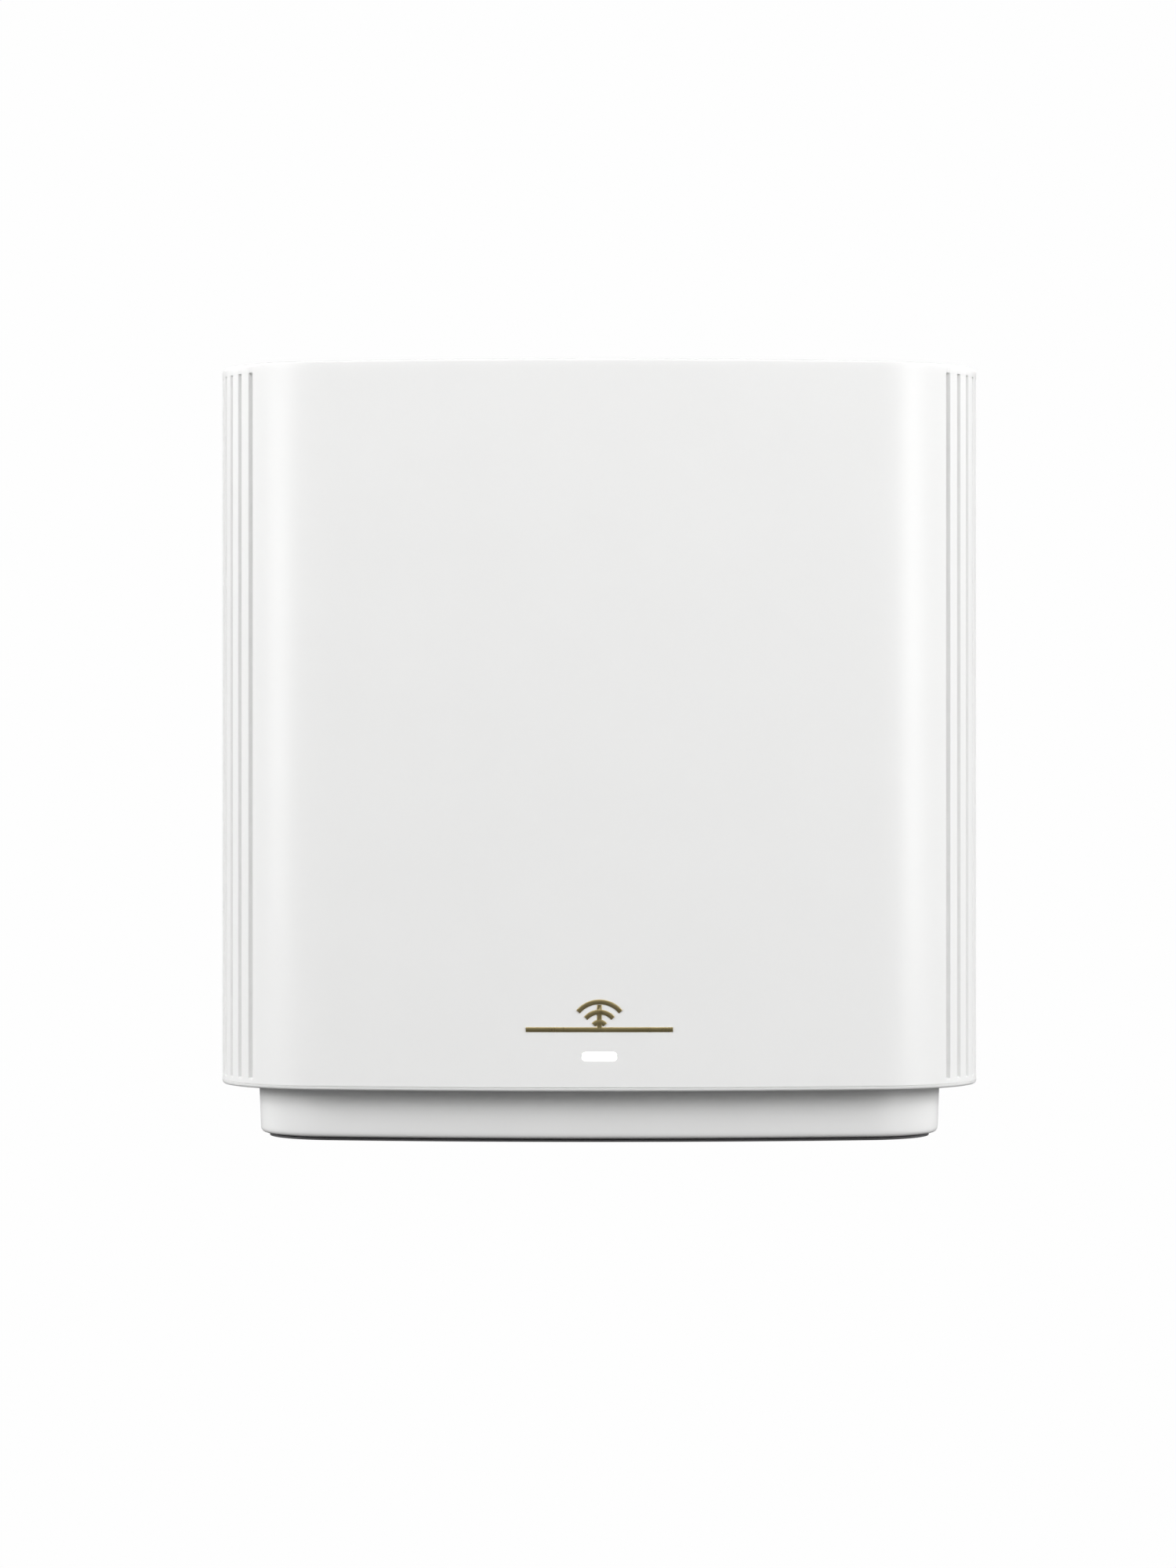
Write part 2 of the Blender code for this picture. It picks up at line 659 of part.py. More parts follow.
def make_rear_panel(look):
    back = PANEL_FACE - PANEL_WALL
    face = DEPTH / 2
    panel = boxes(
        "rear_panel", [centred(0, PORT_Z, COLLAR_WIDTH, COLLAR_HEIGHT, back, face)], look["panel"]
    )
    levels = PORT_Z - COLLAR_HEIGHT, PORT_Z + COLLAR_HEIGHT
    boolean(panel, lofted("panel_curve", [ring(PLAIN, GAP, z) for z in levels]), "INTERSECT")
    cut(panel, boxes("panel_recess", [centred(0, PORT_Z, RECESS_WIDTH, RECESS_HEIGHT, PANEL_FACE, DEPTH)]))
    near, far = back - PANEL_WALL, PANEL_FACE + PANEL_WALL
    sizes = (
        ("dc_jack", DC_WIDTH, DC_HEIGHT),
        ("usb_shell", USB_WIDTH, USB_HEIGHT),
        ("wan", JACK_WIDTH, JACK_HEIGHT),
        ("lan_2", 3 * JACK_WIDTH + 2 * LAN_SPACING, JACK_HEIGHT),
    )
    mouths = [
        centred(PLACES[key], PORT_Z, width + 2 * GAP, height + 2 * GAP, near, far)
        for key, width, height in sizes
    ]
    cut(panel, boxes("panel_mouths", mouths))
    holes = (
        ("power", (PLACES["power_button"], 0, PORT_Z), POWER_CAP_RADIUS + GAP),
        ("wps", (PLACES["tact"], 0, WPS_Z), WPS_CAP_RADIUS + GAP),
        ("reset", (PLACES["tact"], 0, RESET_Z), RESET_HOLE_RADIUS),
    )
    for name, place, radius in holes:
        cut(panel, drills(f"panel_{name}_hole", [place], radius, near, far))
    return panel


def make_network_jack(name, x, look):
    """A socket whose latch notch is at the bottom, and its comb of spring contacts at the top."""
    body = centred(x, PORT_Z, JACK_WIDTH, JACK_HEIGHT, BOARD_REAR + GAP, PANEL_FACE)
    jack = boxes(name, [body], look["wan" if name == "wan_jack" else "black"])
    width, height = JACK_MOUTH
    notch_width, notch = JACK_NOTCH
    middle = PORT_Z + notch / 2
    inner = PANEL_FACE - JACK_CAVITY
    mouth = centred(x, middle, width, height, inner, PANEL_FACE + GAP)
    low = centred(x, middle - height / 2, notch_width, 2 * notch, inner, PANEL_FACE + 2 * GAP)
    cutter = boxes(f"{name}_mouth", [mouth])
    join(cutter, boxes(f"{name}_notch", [low]))
    cut(jack, cutter)
    contacts = name.replace("jack", "contacts")
    make_contacts(contacts, x, middle + height / 2 - GAP, inner + GAP, look["gold"])


def comb(width, back, front, tip, teeth, pitch, tooth):
    """The (across, deep) outline of a bar from back to front, with teeth from front to tip."""
    points = [(-width / 2, back), (width / 2, back), (width / 2, front)]
    for number in reversed(range(teeth)):
        middle = (number - (teeth - 1) / 2) * pitch
        points.append((middle + tooth / 2, front))
        points.append((middle + tooth / 2, tip))
        points.append((middle - tooth / 2, tip))
        points.append((middle - tooth / 2, front))
    points.append((-width / 2, front))
    return points


def make_contacts(name, x, top, inner, material):
    width = CONTACTS * CONTACT_PITCH + CONTACT_WIDTH
    bar, tip = inner + CONTACT_BAR, PANEL_FACE - CONTACT_SETBACK

    def place(across, deep, up):
        return x + across, deep, top + up - CONTACT_SLOPE * max(0.0, deep - bar)

    outline = comb(width, inner, bar, tip, CONTACTS, CONTACT_PITCH, CONTACT_WIDTH)
    extruded(name, outline, place, -CONTACT_THICKNESS, 0.0, material)


def make_usb(look):
    x = PLACES["usb_shell"]
    shell = boxes(
        "usb_shell", [centred(x, PORT_Z, USB_WIDTH, USB_HEIGHT, BOARD_REAR + GAP, PANEL_FACE)], look["tin"]
    )
    inside = USB_WIDTH - 2 * USB_WALL, USB_HEIGHT - 2 * USB_WALL
    inner = PANEL_FACE - USB_CAVITY
    cut(shell, boxes("usb_hollow", [centred(x, PORT_Z, *inside, inner, PANEL_FACE + GAP)]))
    z = PORT_Z + inside[1] / 2 - TONGUE_THICKNESS / 2 - TONGUE_DROP
    tongue = centred(x, z, TONGUE_WIDTH, TONGUE_THICKNESS, inner + GAP, PANEL_FACE - TONGUE_SETBACK)
    boxes("usb_tongue", [tongue], look["wan"])


def make_power_inlet(look):
    x = PLACES["dc_jack"]
    jack = boxes(
        "dc_jack", [centred(x, PORT_Z, DC_WIDTH, DC_HEIGHT, BOARD_REAR + GAP, PANEL_FACE)], look["black"]
    )
    inner = PANEL_FACE - DC_BORE_DEPTH
    cut(jack, drills("dc_bore", [(x, 0, PORT_Z)], DC_BORE_RADIUS, inner, PANEL_FACE + GAP))
    tip = PANEL_FACE - DC_PIN_SETBACK
    pin = ((inner + GAP, DC_PIN_RADIUS), (tip - EDGE, DC_PIN_RADIUS), (tip, DC_PIN_RADIUS - EDGE))
    turned("dc_jack_pin", pin, (x, 0, PORT_Z), look["gold"], sides=12)


def make_power_button(look):
    """A round cap pressed on the square plunger of a latching switch."""
    x = PLACES["power_button"]
    switch_face = BOARD_REAR + GAP + POWER_SWITCH_LENGTH
    side = POWER_SWITCH_SIDE
    body = centred(x, PORT_Z, side, side, BOARD_REAR + GAP, switch_face)
    switch = boxes("power_switch", [body], look["black"])
    front = PANEL_FACE + POWER_CAP_PROUD
    back = front - POWER_CAP_LENGTH
    socket = back + CAP_SOCKET_DEPTH
    plunger_end = switch_face - PLUNGER_IN_SWITCH
    bore = plunger_end - POWER_TRAVEL - GAP
    square = PLUNGER_SIDE + 2 * GAP
    cut(switch, boxes("switch_bore", [centred(x, PORT_Z, square, square, bore, switch_face + GAP)]))
    plunger = centred(x, PORT_Z, PLUNGER_SIDE, PLUNGER_SIDE, plunger_end, socket - GAP)
    boxes("power_plunger", [plunger], look["tin"])
    radius = POWER_CAP_RADIUS
    profile = ((back, radius), (front - EDGE, radius), (front, radius - EDGE))
    cap = turned("power_button", profile, (x, 0, PORT_Z), look["button"], sides=24)
    cut(cap, boxes("cap_socket", [centred(x, PORT_Z, square, square, back - GAP, socket)]))


def make_tact_switch(name, z, stem_end, stem_radius, look):
    """A small switch on the board and its plunger, which a longer stem may carry to stem_end."""
    x = PLACES["tact"]
    low, face = BOARD_REAR + GAP, BOARD_REAR + GAP + TACT_HEIGHT
    switch = boxes(f"{name}_switch", [centred(x, z, TACT_SIDE, TACT_SIDE, low, face)], look["black"])
    inner = face - TACT_PLUNGER_SUNK
    bore = inner - TACT_TRAVEL - GAP
    place = (x, 0, z)
    cut(switch, drills(f"{name}_bore", [place], TACT_PLUNGER_RADIUS + GAP, bore, face + GAP, sides=16))
    proud = face + TACT_PLUNGER_PROUD
    profile = [(inner, TACT_PLUNGER_RADIUS), (proud, TACT_PLUNGER_RADIUS)]
    if stem_end:
        profile += [(proud, stem_radius), (stem_end, stem_radius)]
    turned(f"{name}_plunger", profile, place, look["button"], sides=16)
    return proud


def make_small_buttons(look):
    proud = make_tact_switch("wps", WPS_Z, None, 0.0, look)
    front = PANEL_FACE + WPS_CAP_PROUD
    cap = front - WPS_CAP_LENGTH
    profile = (
        (proud + GAP, WPS_STEM_RADIUS),
        (cap, WPS_STEM_RADIUS),
        (cap, WPS_CAP_RADIUS),
        (front - EDGE, WPS_CAP_RADIUS),
        (front, WPS_CAP_RADIUS - EDGE),
    )
    turned("wps_button", profile, (PLACES["tact"], 0, WPS_Z), look["button"])
    make_tact_switch("reset", RESET_Z, PANEL_FACE - RESET_SETBACK, RESET_STEM_RADIUS, look)


# ---- Frame, board and cooling -------------------------------------------------------------------------


def make_inner_frame(look):
    frame = boxes(
        "inner_frame",
        [((-FRAME_HALF, FRAME_FRONT, FRAME_BOTTOM), (FRAME_HALF, FRAME_FACE, FRAME_TOP))],
        look["frame"],
    )
    toe = FRAME_HALF + FRAME_TOE
    join(frame, boxes("frame_toes", [((-toe, FRAME_FRONT, FRAME_BOTTOM), (toe, FRAME_FACE, BOARD_BOTTOM))]))
    inside = (
        (-OPENING_HALF, FRAME_FRONT - FRAME_DEPTH, FRAME_BOTTOM + FRAME_BAR),
        (OPENING_HALF, FRAME_FACE + FRAME_DEPTH, FRAME_TOP - FRAME_BAR),
    )
    cut(frame, boxes("frame_opening", [inside]))
    cut(frame, drills("frame_screw_holes", board_screw_places(), HOLE_RADIUS, 0, BOARD_REAR))
    posts = [(x, FRAME_MIDDLE, 0) for x in BASE_SCREW_X]
    deep = FRAME_BOTTOM + BASE_SCREW_REACH + GAP
    return cut(frame, drills("frame_base_holes", posts, HOLE_RADIUS, 0, deep, "Z"))


def board_screw_places():
    edge = (FRAME_BAR - BOARD_SIDE_MARGIN) / 2
    levels = BOARD_BOTTOM + edge, BOARD_TOP - edge
    return [(side * SCREW_X, 0, z) for side in (-1, 1) for z in levels]


def make_main_board(look):
    """The board with what is soldered to its front: transformers, capacitors and small sockets."""
    board = boxes(
        "main_board",
        [((-BOARD_HALF, BOARD_FRONT, BOARD_BOTTOM), (BOARD_HALF, BOARD_REAR, BOARD_TOP))],
        look["board"],
    )
    sunk = BOARD_FRONT + BOARD_THICKNESS / 2
    level = PORT_Z + PARTS_ABOVE_PORTS
    face = BOARD_FRONT - TRANSFORMER_HEIGHT
    soldered = [
        centred(PLACES["lan_2"], level, *LAN_TRANSFORMER, face, sunk),
        centred(PLACES["wan"], level, *WAN_TRANSFORMER, face, sunk),
        centred(LIGHT_LEAD_X, LIGHT_HEADER_Z, *LIGHT_HEADER, BOARD_FRONT - HEADER_HEIGHT, sunk),
    ]
    side, face = AERIAL_SOCKET_SIDE, BOARD_FRONT - AERIAL_SOCKET_HEIGHT
    soldered += [centred(x, z, side, side, face, sunk) for x, z in aerial_sockets()]
    join(board, boxes("board_parts", soldered))
    for number in (0, 1):
        profile = ((BOARD_FRONT - CAPACITOR_HEIGHT, CAPACITOR_RADIUS), (sunk, CAPACITOR_RADIUS))
        place = (PLACES["dc_jack"] - CAPACITOR_PITCH * number, 0, level)
        join(board, turned(f"board_capacitor_{number + 1}", profile, place, sides=14))
    places = board_screw_places() + [(x, 0, z) for x, z in SINK_SCREWS]
    return cut(board, drills("board_holes", places, HOLE_RADIUS, 0, DEPTH))


def make_shields(look):
    """Tin cans over the processor in front and the two radios behind, each with a soft pad on it."""
    middle = (SINK_TOP + SINK_BOTTOM) / 2
    radio = SINK_HALF / 2
    cans = (
        ("processor", "", PROCESSOR_X, PROCESSOR_SHIELD, BOARD_FRONT, -1),
        ("radio", "_left", -radio, RADIO_SHIELD, BOARD_REAR, 1),
        ("radio", "_right", radio, RADIO_SHIELD, BOARD_REAR, 1),
    )
    for kind, hand, x, (width, height), board, away in cans:
        near = board + away * GAP
        far = near + away * SHIELD_HEIGHT
        can = centred(x, middle, width, height, min(near, far), max(near, far))
        boxes(f"{kind}_shield{hand}", [can], look["tin"])
        near = far + away * GAP
        far = near + away * PAD_THICKNESS
        width, height = width - 2 * PAD_MARGIN, height - 2 * PAD_MARGIN
        pad = centred(x, middle, width, height, min(near, far), max(near, far))
        boxes(f"{kind}_pad{hand}", [pad], look["pad"])


def make_heatsink(name, near, away, look):
    """A finned plate whose flat side is at near, with its fins pointing along away."""
    root = near + away * SINK_BASE
    tip = root + away * SINK_FIN_HEIGHT
    outline = comb(2 * SINK_HALF, near, root, tip, SINK_FINS, SINK_PITCH, SINK_FIN_THICKNESS)
    sink = extruded(name, outline, lambda u, v, w: (u, v, w), SINK_BOTTOM, SINK_TOP, look["sink"])
    places = [(x, 0, z) for x, z in SINK_SCREWS]
    return cut(sink, drills(f"{name}_holes", places, HOLE_RADIUS, -DEPTH, DEPTH))


def make_heatsinks(look):
    """Two finned plates with the board between them, held together by two long screws."""
    stack = GAP + SHIELD_HEIGHT + GAP + PAD_THICKNESS + GAP
    make_heatsink("heatsink_front", BOARD_FRONT - stack, -1, look)
    make_heatsink("heatsink_rear", BOARD_REAR + stack, 1, look)
    seat = BOARD_REAR + stack + SINK_BASE + GAP
    length = seat - (BOARD_FRONT - stack - SINK_BASE)
    for number, (x, z) in enumerate(SINK_SCREWS, 1):
        screw(f"heatsink_screw_{number}", (x, 0, z), seat, -1, length, "Y", look["steel"])


# ---- Aerials ------------------------------------------------------------------------------------------


def aerial_sockets():
    """Where the four aerial leads plug into the board: two beside the cooling plate, two above it."""
    side_x = (OPENING_HALF + SINK_HALF) / 2
    above = (SINK_TOP + FRAME_TOP - FRAME_BAR) / 2
    return [(-side_x, SIDE_AERIAL_Z), (side_x, SIDE_AERIAL_Z), (-TOP_AERIAL_X, above), (TOP_AERIAL_X, above)]


def wire(name, points, radius, material):
    """A thin lead along a smooth curve through the points, square to its first and last faces."""
    data = bpy.data.curves.new(name, "CURVE")
    data.dimensions = "3D"
    data.bevel_depth = radius
    data.bevel_resolution = 2
    data.use_fill_caps = True
    path = smooth_path(points, 4)
    spline = data.splines.new("POLY")
    spline.points.add(len(path) - 1)
    for point, place in zip(spline.points, path):
        point.co = (*place, 1.0)
    return add(name, data, material)


def smooth_path(points, steps):
    """A Catmull-Rom curve through the points, with this many steps to each stretch."""
    ends = [points[0], *points, points[-1]]
    path = [points[0]]
    for before, start, end, after in zip(ends, ends[1:], ends[2:], ends[3:]):
        for step in range(1, steps + 1):
            t = step / steps
            path.append(tuple(spline_value(t, *values) for values in zip(before, start, end, after)))
    return path


def spline_value(t, before, start, end, after):
    first = (end - before) / 2
    last = (after - start) / 2
    turn = 3 * (end - start) - 2 * first - last
    bend = 2 * (start - end) + first + last
    return start + t * (first + t * (turn + t * bend))


def make_aerials(look):
    side_socket, top_socket = aerial_sockets()[1], aerial_sockets()[3]
    face = FRAME_HALF + GAP
    lead_y = FRAME_FRONT - 3 * COAX_RADIUS
    plug = BOARD_FRONT - AERIAL_SOCKET_HEIGHT - GAP
    for name, side in (("left", -1), ("right", 1)):
        x0, x1 = sorted((side * face, side * (face + AERIAL_THICKNESS)))
        y0 = FRAME_FACE - AERIAL_WIDTH
        low = SIDE_AERIAL_Z - AERIAL_LENGTH / 2
        plate = (x0, y0, low), (x1, y0 + AERIAL_WIDTH, low + AERIAL_LENGTH)
        boxes(f"aerial_side_{name}", [plate], look["board"])
        x, z = side_socket
        route = [
            (side * x, plug, z),
            (side * x, plug - 0.0020, z),
            (side * (x + 0.0010), lead_y + 0.0008, z + 0.0005),
            (side * (x + 0.0040), lead_y, z + 0.0010),
            (side * (face - 0.0030), lead_y, z + 0.0015),
            (side * (face - 2 * GAP), lead_y, z + 0.0015),
        ]
        wire(f"aerial_lead_side_{name}", route, COAX_RADIUS, look["cable"])
        y1 = FRAME_FRONT - GAP
        near = TOP_AERIAL_X + AERIAL_SOCKET_SIDE
        x0, x1 = sorted((side * near, side * (near + TOP_AERIAL_LENGTH)))
        low = FRAME_TOP - FRAME_BAR + GAP
        plate = (x0, y1 - AERIAL_THICKNESS, low), (x1, y1, FRAME_TOP - AERIAL_THICKNESS)
        boxes(f"aerial_top_{name}", [plate], look["board"])
        x, z = top_socket
        plate_y = y1 - AERIAL_THICKNESS / 2
        route = [
            (side * x, plug, z),
            (side * x, plug - 0.0018, z),
            (side * (x + 0.0015), plate_y + 0.0014, z - 0.0002),
            (side * (x + 0.0045), plate_y + 0.0001, z),
            (side * (x + 0.0070), plate_y, z + 0.0010),
            (side * (x + 0.0075), plate_y, low - GAP),
        ]
        wire(f"aerial_lead_top_{name}", route, COAX_RADIUS, look["cable"])


# ---- Screws -------------------------------------------------------------------------------------------


def screw(name, place, seat, toward, length, axis, material):
    """A pan-headed screw. Its head's underside is at seat, and its shank runs toward -1 or +1."""
    profile = [
        (seat - toward * SCREW_HEAD, SCREW_HEAD_RADIUS),
        (seat, SCREW_HEAD_RADIUS),
        (seat, SCREW_RADIUS),
        (seat + toward * length, SCREW_RADIUS),
    ]
    turned(name, profile, place, material, axis, sides=16)


def make_screws(look):
    seat = BOARD_REAR + GAP
    for number, place in enumerate(board_screw_places(), 1):
        screw(f"board_screw_{number}", place, seat, -1, BOARD_SCREW_LENGTH, "Y", look["steel"])
    for number, x in enumerate(BASE_SCREW_X, 1):
        length = FRAME_BOTTOM + BASE_SCREW_REACH - (PLATE_BOTTOM + SCREW_HEAD)
        seat = PLATE_BOTTOM + SCREW_HEAD
        screw(f"base_screw_{number}", (x, FRAME_MIDDLE, 0), seat, 1, length, "Z", look["steel"])


def main():
    for thing in list(bpy.data.objects):
        bpy.data.objects.remove(thing)
    look = make_finishes()
    make_outer_sleeve(look)
    make_top_cover(look)
    make_badge(look)
    make_status_light(look)
    make_base_plinth(look)
    make_base_plate(look)
    make_rubber_foot(look)
    make_rear_panel(look)
    for name, key in NETWORK_JACKS.items():
        make_network_jack(name, PLACES[key], look)
    make_usb(look)
    make_power_inlet(look)
    make_power_button(look)
    make_small_buttons(look)
    make_inner_frame(look)
    make_main_board(look)
    make_shields(look)
    make_heatsinks(look)
    make_aerials(look)
    make_screws(look)


main()
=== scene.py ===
# %% [markdown]
# # A wireless router with a fluted white housing
#
# This lesson dresses a finished mechanical model of a router. The model already has every part at its
# real size and place, so nothing here moves a part. Each visible part is either made again with finer
# edges, or keeps its shape and gets a better finish.
#
# The order is camera first, then the finishes, then the parts from the housing down to the screws and
# what is inside, and the stage with its lights last.

# %% Load the mechanical model
import math

import bmesh
import bpy
from mathutils import Matrix, Vector


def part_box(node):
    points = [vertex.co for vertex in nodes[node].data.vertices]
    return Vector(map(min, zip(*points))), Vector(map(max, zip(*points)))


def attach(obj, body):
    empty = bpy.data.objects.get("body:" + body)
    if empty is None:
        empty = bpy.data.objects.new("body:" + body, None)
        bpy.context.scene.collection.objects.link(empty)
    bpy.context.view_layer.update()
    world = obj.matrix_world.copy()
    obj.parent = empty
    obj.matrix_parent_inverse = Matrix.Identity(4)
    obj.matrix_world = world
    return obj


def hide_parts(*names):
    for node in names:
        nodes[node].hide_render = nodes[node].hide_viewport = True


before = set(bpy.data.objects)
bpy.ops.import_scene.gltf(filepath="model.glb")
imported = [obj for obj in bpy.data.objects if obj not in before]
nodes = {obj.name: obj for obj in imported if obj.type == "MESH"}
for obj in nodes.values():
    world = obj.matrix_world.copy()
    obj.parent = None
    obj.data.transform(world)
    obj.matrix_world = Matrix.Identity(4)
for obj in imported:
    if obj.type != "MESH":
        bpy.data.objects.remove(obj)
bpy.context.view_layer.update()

# %% [markdown]
# ## The camera
#
# A product portrait is taken from far away with a long lens, so that the sides of the object stay
# nearly parallel. The lens here looks level, at about half the router's height, from 0.9 m in front of
# its face. A small sideways shift of the lens frames the router a little to the right of the middle.

# %% Camera
CAMERA_DISTANCE = 0.900  # from the middle of the front face
CAMERA_LEVEL = 0.0742
FRAME_HEIGHT = 0.32135  # the height of the front face's plane that fits in the frame
CAMERA_SHIFT = 0.00725  # share of the frame's height by which the router sits right of the middle
SENSOR = 36.0

sleeve_low, sleeve_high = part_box("outer_sleeve")
FACE_Y = sleeve_low.y

camera_data = bpy.data.cameras.new("portrait_camera")
camera_data.sensor_width = SENSOR
camera_data.lens = SENSOR * CAMERA_DISTANCE / FRAME_HEIGHT
camera_data.shift_x = -CAMERA_SHIFT
camera_data.clip_start, camera_data.clip_end = 0.05, 50.0
camera = bpy.data.objects.new("portrait_camera", camera_data)
camera.location = (0.0, FACE_Y - CAMERA_DISTANCE, CAMERA_LEVEL)
camera.rotation_euler = (math.pi / 2, 0.0, 0.0)
bpy.context.scene.collection.objects.link(camera)
bpy.context.scene.camera = camera
print("lens:", round(camera_data.lens, 1), "mm")

# %% [markdown]
# ## Finishes
#
# Moulded plastic is never perfectly even. Its skin has a fine spark-eroded grain from the mould, it
# reflects a little more in some places than in others, and rims polish with handling. Those effects are
# built once as node groups and placed in each material with its own values. A group gives out only a
# value, a mask or a normal, and the Principled shader stays in the material, where its plain numbers
# are set on its own sockets.

# %% Helpers for node groups
def new_group(name, inputs, outputs, kind="ShaderNodeTree"):
    """A node group. Each input is given as its default number, or as its socket type."""
    tree = bpy.data.node_groups.new(name, kind)
    for label, value in inputs.items():
        if isinstance(value, str):
            tree.interface.new_socket(label, in_out="INPUT", socket_type=value)
            continue
        number_type = "NodeSocketInt" if isinstance(value, int) else "NodeSocketFloat"
        socket = tree.interface.new_socket(label, in_out="INPUT", socket_type=number_type)
        socket.default_value = value
    for label, socket_type in outputs.items():
        tree.interface.new_socket(label, in_out="OUTPUT", socket_type=socket_type)
    return tree, tree.nodes.new("NodeGroupInput"), tree.nodes.new("NodeGroupOutput")


def feed(tree, socket, value):
    """Sets an input to a value, or links it to the socket that gives one."""
    if isinstance(value, bpy.types.NodeSocket):
        tree.links.new(value, socket)
    else:
        socket.default_value = value


def new_node(tree, kind, **inputs):
    """A node whose inputs are fed by name."""
    made = tree.nodes.new(kind)
    for label, value in inputs.items():
        feed(tree, made.inputs[label.replace("_", " ")], value)
    return made


def maths(tree, operation, *values):
    """A Math node. Each value is a number or a socket."""
    node = tree.nodes.new("ShaderNodeMath")
    node.operation = operation
    for socket, value in zip(node.inputs, values):
        feed(tree, socket, value)
    return node.outputs[0]


def noise_in(tree, place, scale, detail, roughness=0.5):
    """A noise texture's value at a place."""
    noise = new_node(tree, "ShaderNodeTexNoise", Vector=place, Scale=scale, Detail=detail,
                     Roughness=roughness)
    return noise.outputs["Fac"]


def colour_mix(tree, share, first, second):
    """A colour between two others."""
    mix = tree.nodes.new("ShaderNodeMix")
    mix.data_type = "RGBA"
    for label, value in (("Factor", share), ("A", first), ("B", second)):
        feed(tree, mix.inputs[label], value)
    return mix.outputs["Result"]


def part_place(tree):
    """Object coordinates, which stay with a part when it moves."""
    return tree.nodes.new("ShaderNodeTexCoord").outputs["Object"]


# %% [markdown]
# The first group is the moulded skin: a fine grain for the bump, and slow patches that change the
# roughness slightly. The way it ends, with a roughness and a normal, is used by the metals too.

# %% The moulded skin group
SURFACE_OUTPUTS = {"Roughness": "NodeSocketFloat", "Normal": "NodeSocketVector"}
PATCH_SCALE, SKIN_RELIEF = 38.0, 0.00002


def give_surface(tree, given, result, uneven, height, relief):
    """Ends a group: the roughness wanders with one texture, and the bump follows another."""
    wander = maths(tree, "MULTIPLY", uneven, given.outputs["Variation"])
    tree.links.new(maths(tree, "ADD", given.outputs["Roughness"], wander), result.inputs["Roughness"])
    bump = new_node(tree, "ShaderNodeBump", Height=height, Strength=given.outputs["Depth"], Distance=relief)
    tree.links.new(bump.outputs["Normal"], result.inputs["Normal"])


def build_skin_group():
    inputs = {"Grain": 3500.0, "Depth": 0.1, "Roughness": 0.35, "Variation": 0.05}
    tree, given, result = new_group("moulded_skin", inputs, SURFACE_OUTPUTS)
    place = part_place(tree)
    fine = noise_in(tree, place, given.outputs["Grain"], 2.0, 0.6)
    patches = maths(tree, "SUBTRACT", noise_in(tree, place, PATCH_SCALE, 2.0), 0.5)
    give_surface(tree, given, result, patches, fine, SKIN_RELIEF)
    return tree


# %% [markdown]
# The second group shades one colour into another in slow clouds. It stands for the small differences
# in tone of a moulded, plated or soldered surface.

# %% The tone group
CLOUD_SCALE = 60.0


def build_tone_group():
    inputs = {"Light": "NodeSocketColor", "Dark": "NodeSocketColor"}
    tree, given, result = new_group("uneven_tone", inputs, {"Color": "NodeSocketColor"})
    cloud = noise_in(tree, part_place(tree), CLOUD_SCALE, 3.0)
    tone = colour_mix(tree, cloud, given.outputs["Light"], given.outputs["Dark"])
    tree.links.new(tone, result.inputs["Color"])
    return tree


skin_group, tone_group = build_skin_group(), build_tone_group()
print("node groups:", skin_group.name, tone_group.name)

# %% [markdown]
# Metal parts that were rolled or drawn have fine parallel scratches. This group stretches a noise along
# one direction and gives out a roughness and a normal from it.

# %% The brushed metal group
SCRATCH_STRETCH, STAIN_SCALE, SCRATCH_RELIEF = 0.03, 90.0, 0.00001


def build_brushed_group():
    inputs = {"Fineness": 900.0, "Depth": 0.15, "Roughness": 0.3, "Variation": 0.2}
    tree, given, result = new_group("brushed_metal", inputs, SURFACE_OUTPUTS)
    place = part_place(tree)
    stretch = new_node(tree, "ShaderNodeMapping", Vector=place, Scale=(1.0, 1.0, SCRATCH_STRETCH))
    lines = noise_in(tree, stretch.outputs["Vector"], given.outputs["Fineness"], 4.0, 0.7)
    stains = noise_in(tree, place, STAIN_SCALE, 2.0)
    uneven = maths(tree, "SUBTRACT", maths(tree, "MULTIPLY", lines, stains), 0.25)
    give_surface(tree, given, result, uneven, lines, SCRATCH_RELIEF)
    return tree


# %% [markdown]
# The circuit board's group draws copper tracks under the solder mask. Thin bands of two square
# gratings, each hidden in places by a coarse block pattern, read as bundles of tracks. It gives out a
# mask of where the copper lies.

# %% The copper track group
TRACK_SHARE, BLOCK_SCALE = 0.35, 140.0  # how much of a band is copper, and how fine the blocks are
UPRIGHT_BELOW, ACROSS_ABOVE = 0.35, 0.7  # which blocks have upright tracks, and which have level ones


def build_track_group():
    tree, given, result = new_group("copper_tracks", {"Pitch": 1400.0}, {"Tracks": "NodeSocketFloat"})
    place = part_place(tree)
    parts = new_node(tree, "ShaderNodeSeparateXYZ", Vector=place)
    bands = []
    for axis in ("X", "Z"):
        steps = maths(tree, "MULTIPLY", parts.outputs[axis], given.outputs["Pitch"])
        bands.append(maths(tree, "LESS_THAN", maths(tree, "PINGPONG", steps, 1.0), TRACK_SHARE))
    blocks = new_node(tree, "ShaderNodeTexVoronoi", Vector=place, Scale=BLOCK_SCALE)
    blocks.distance = "CHEBYCHEV"
    pick = new_node(tree, "ShaderNodeSeparateColor", Color=blocks.outputs["Color"]).outputs["Red"]
    upright = maths(tree, "MULTIPLY", bands[0], maths(tree, "LESS_THAN", pick, UPRIGHT_BELOW))
    across = maths(tree, "MULTIPLY", bands[1], maths(tree, "GREATER_THAN", pick, ACROSS_ABOVE))
    tree.links.new(maths(tree, "MAXIMUM", upright, across), result.inputs["Tracks"])
    return tree


brushed_group, track_group = build_brushed_group(), build_track_group()
print("node groups:", brushed_group.name, track_group.name)

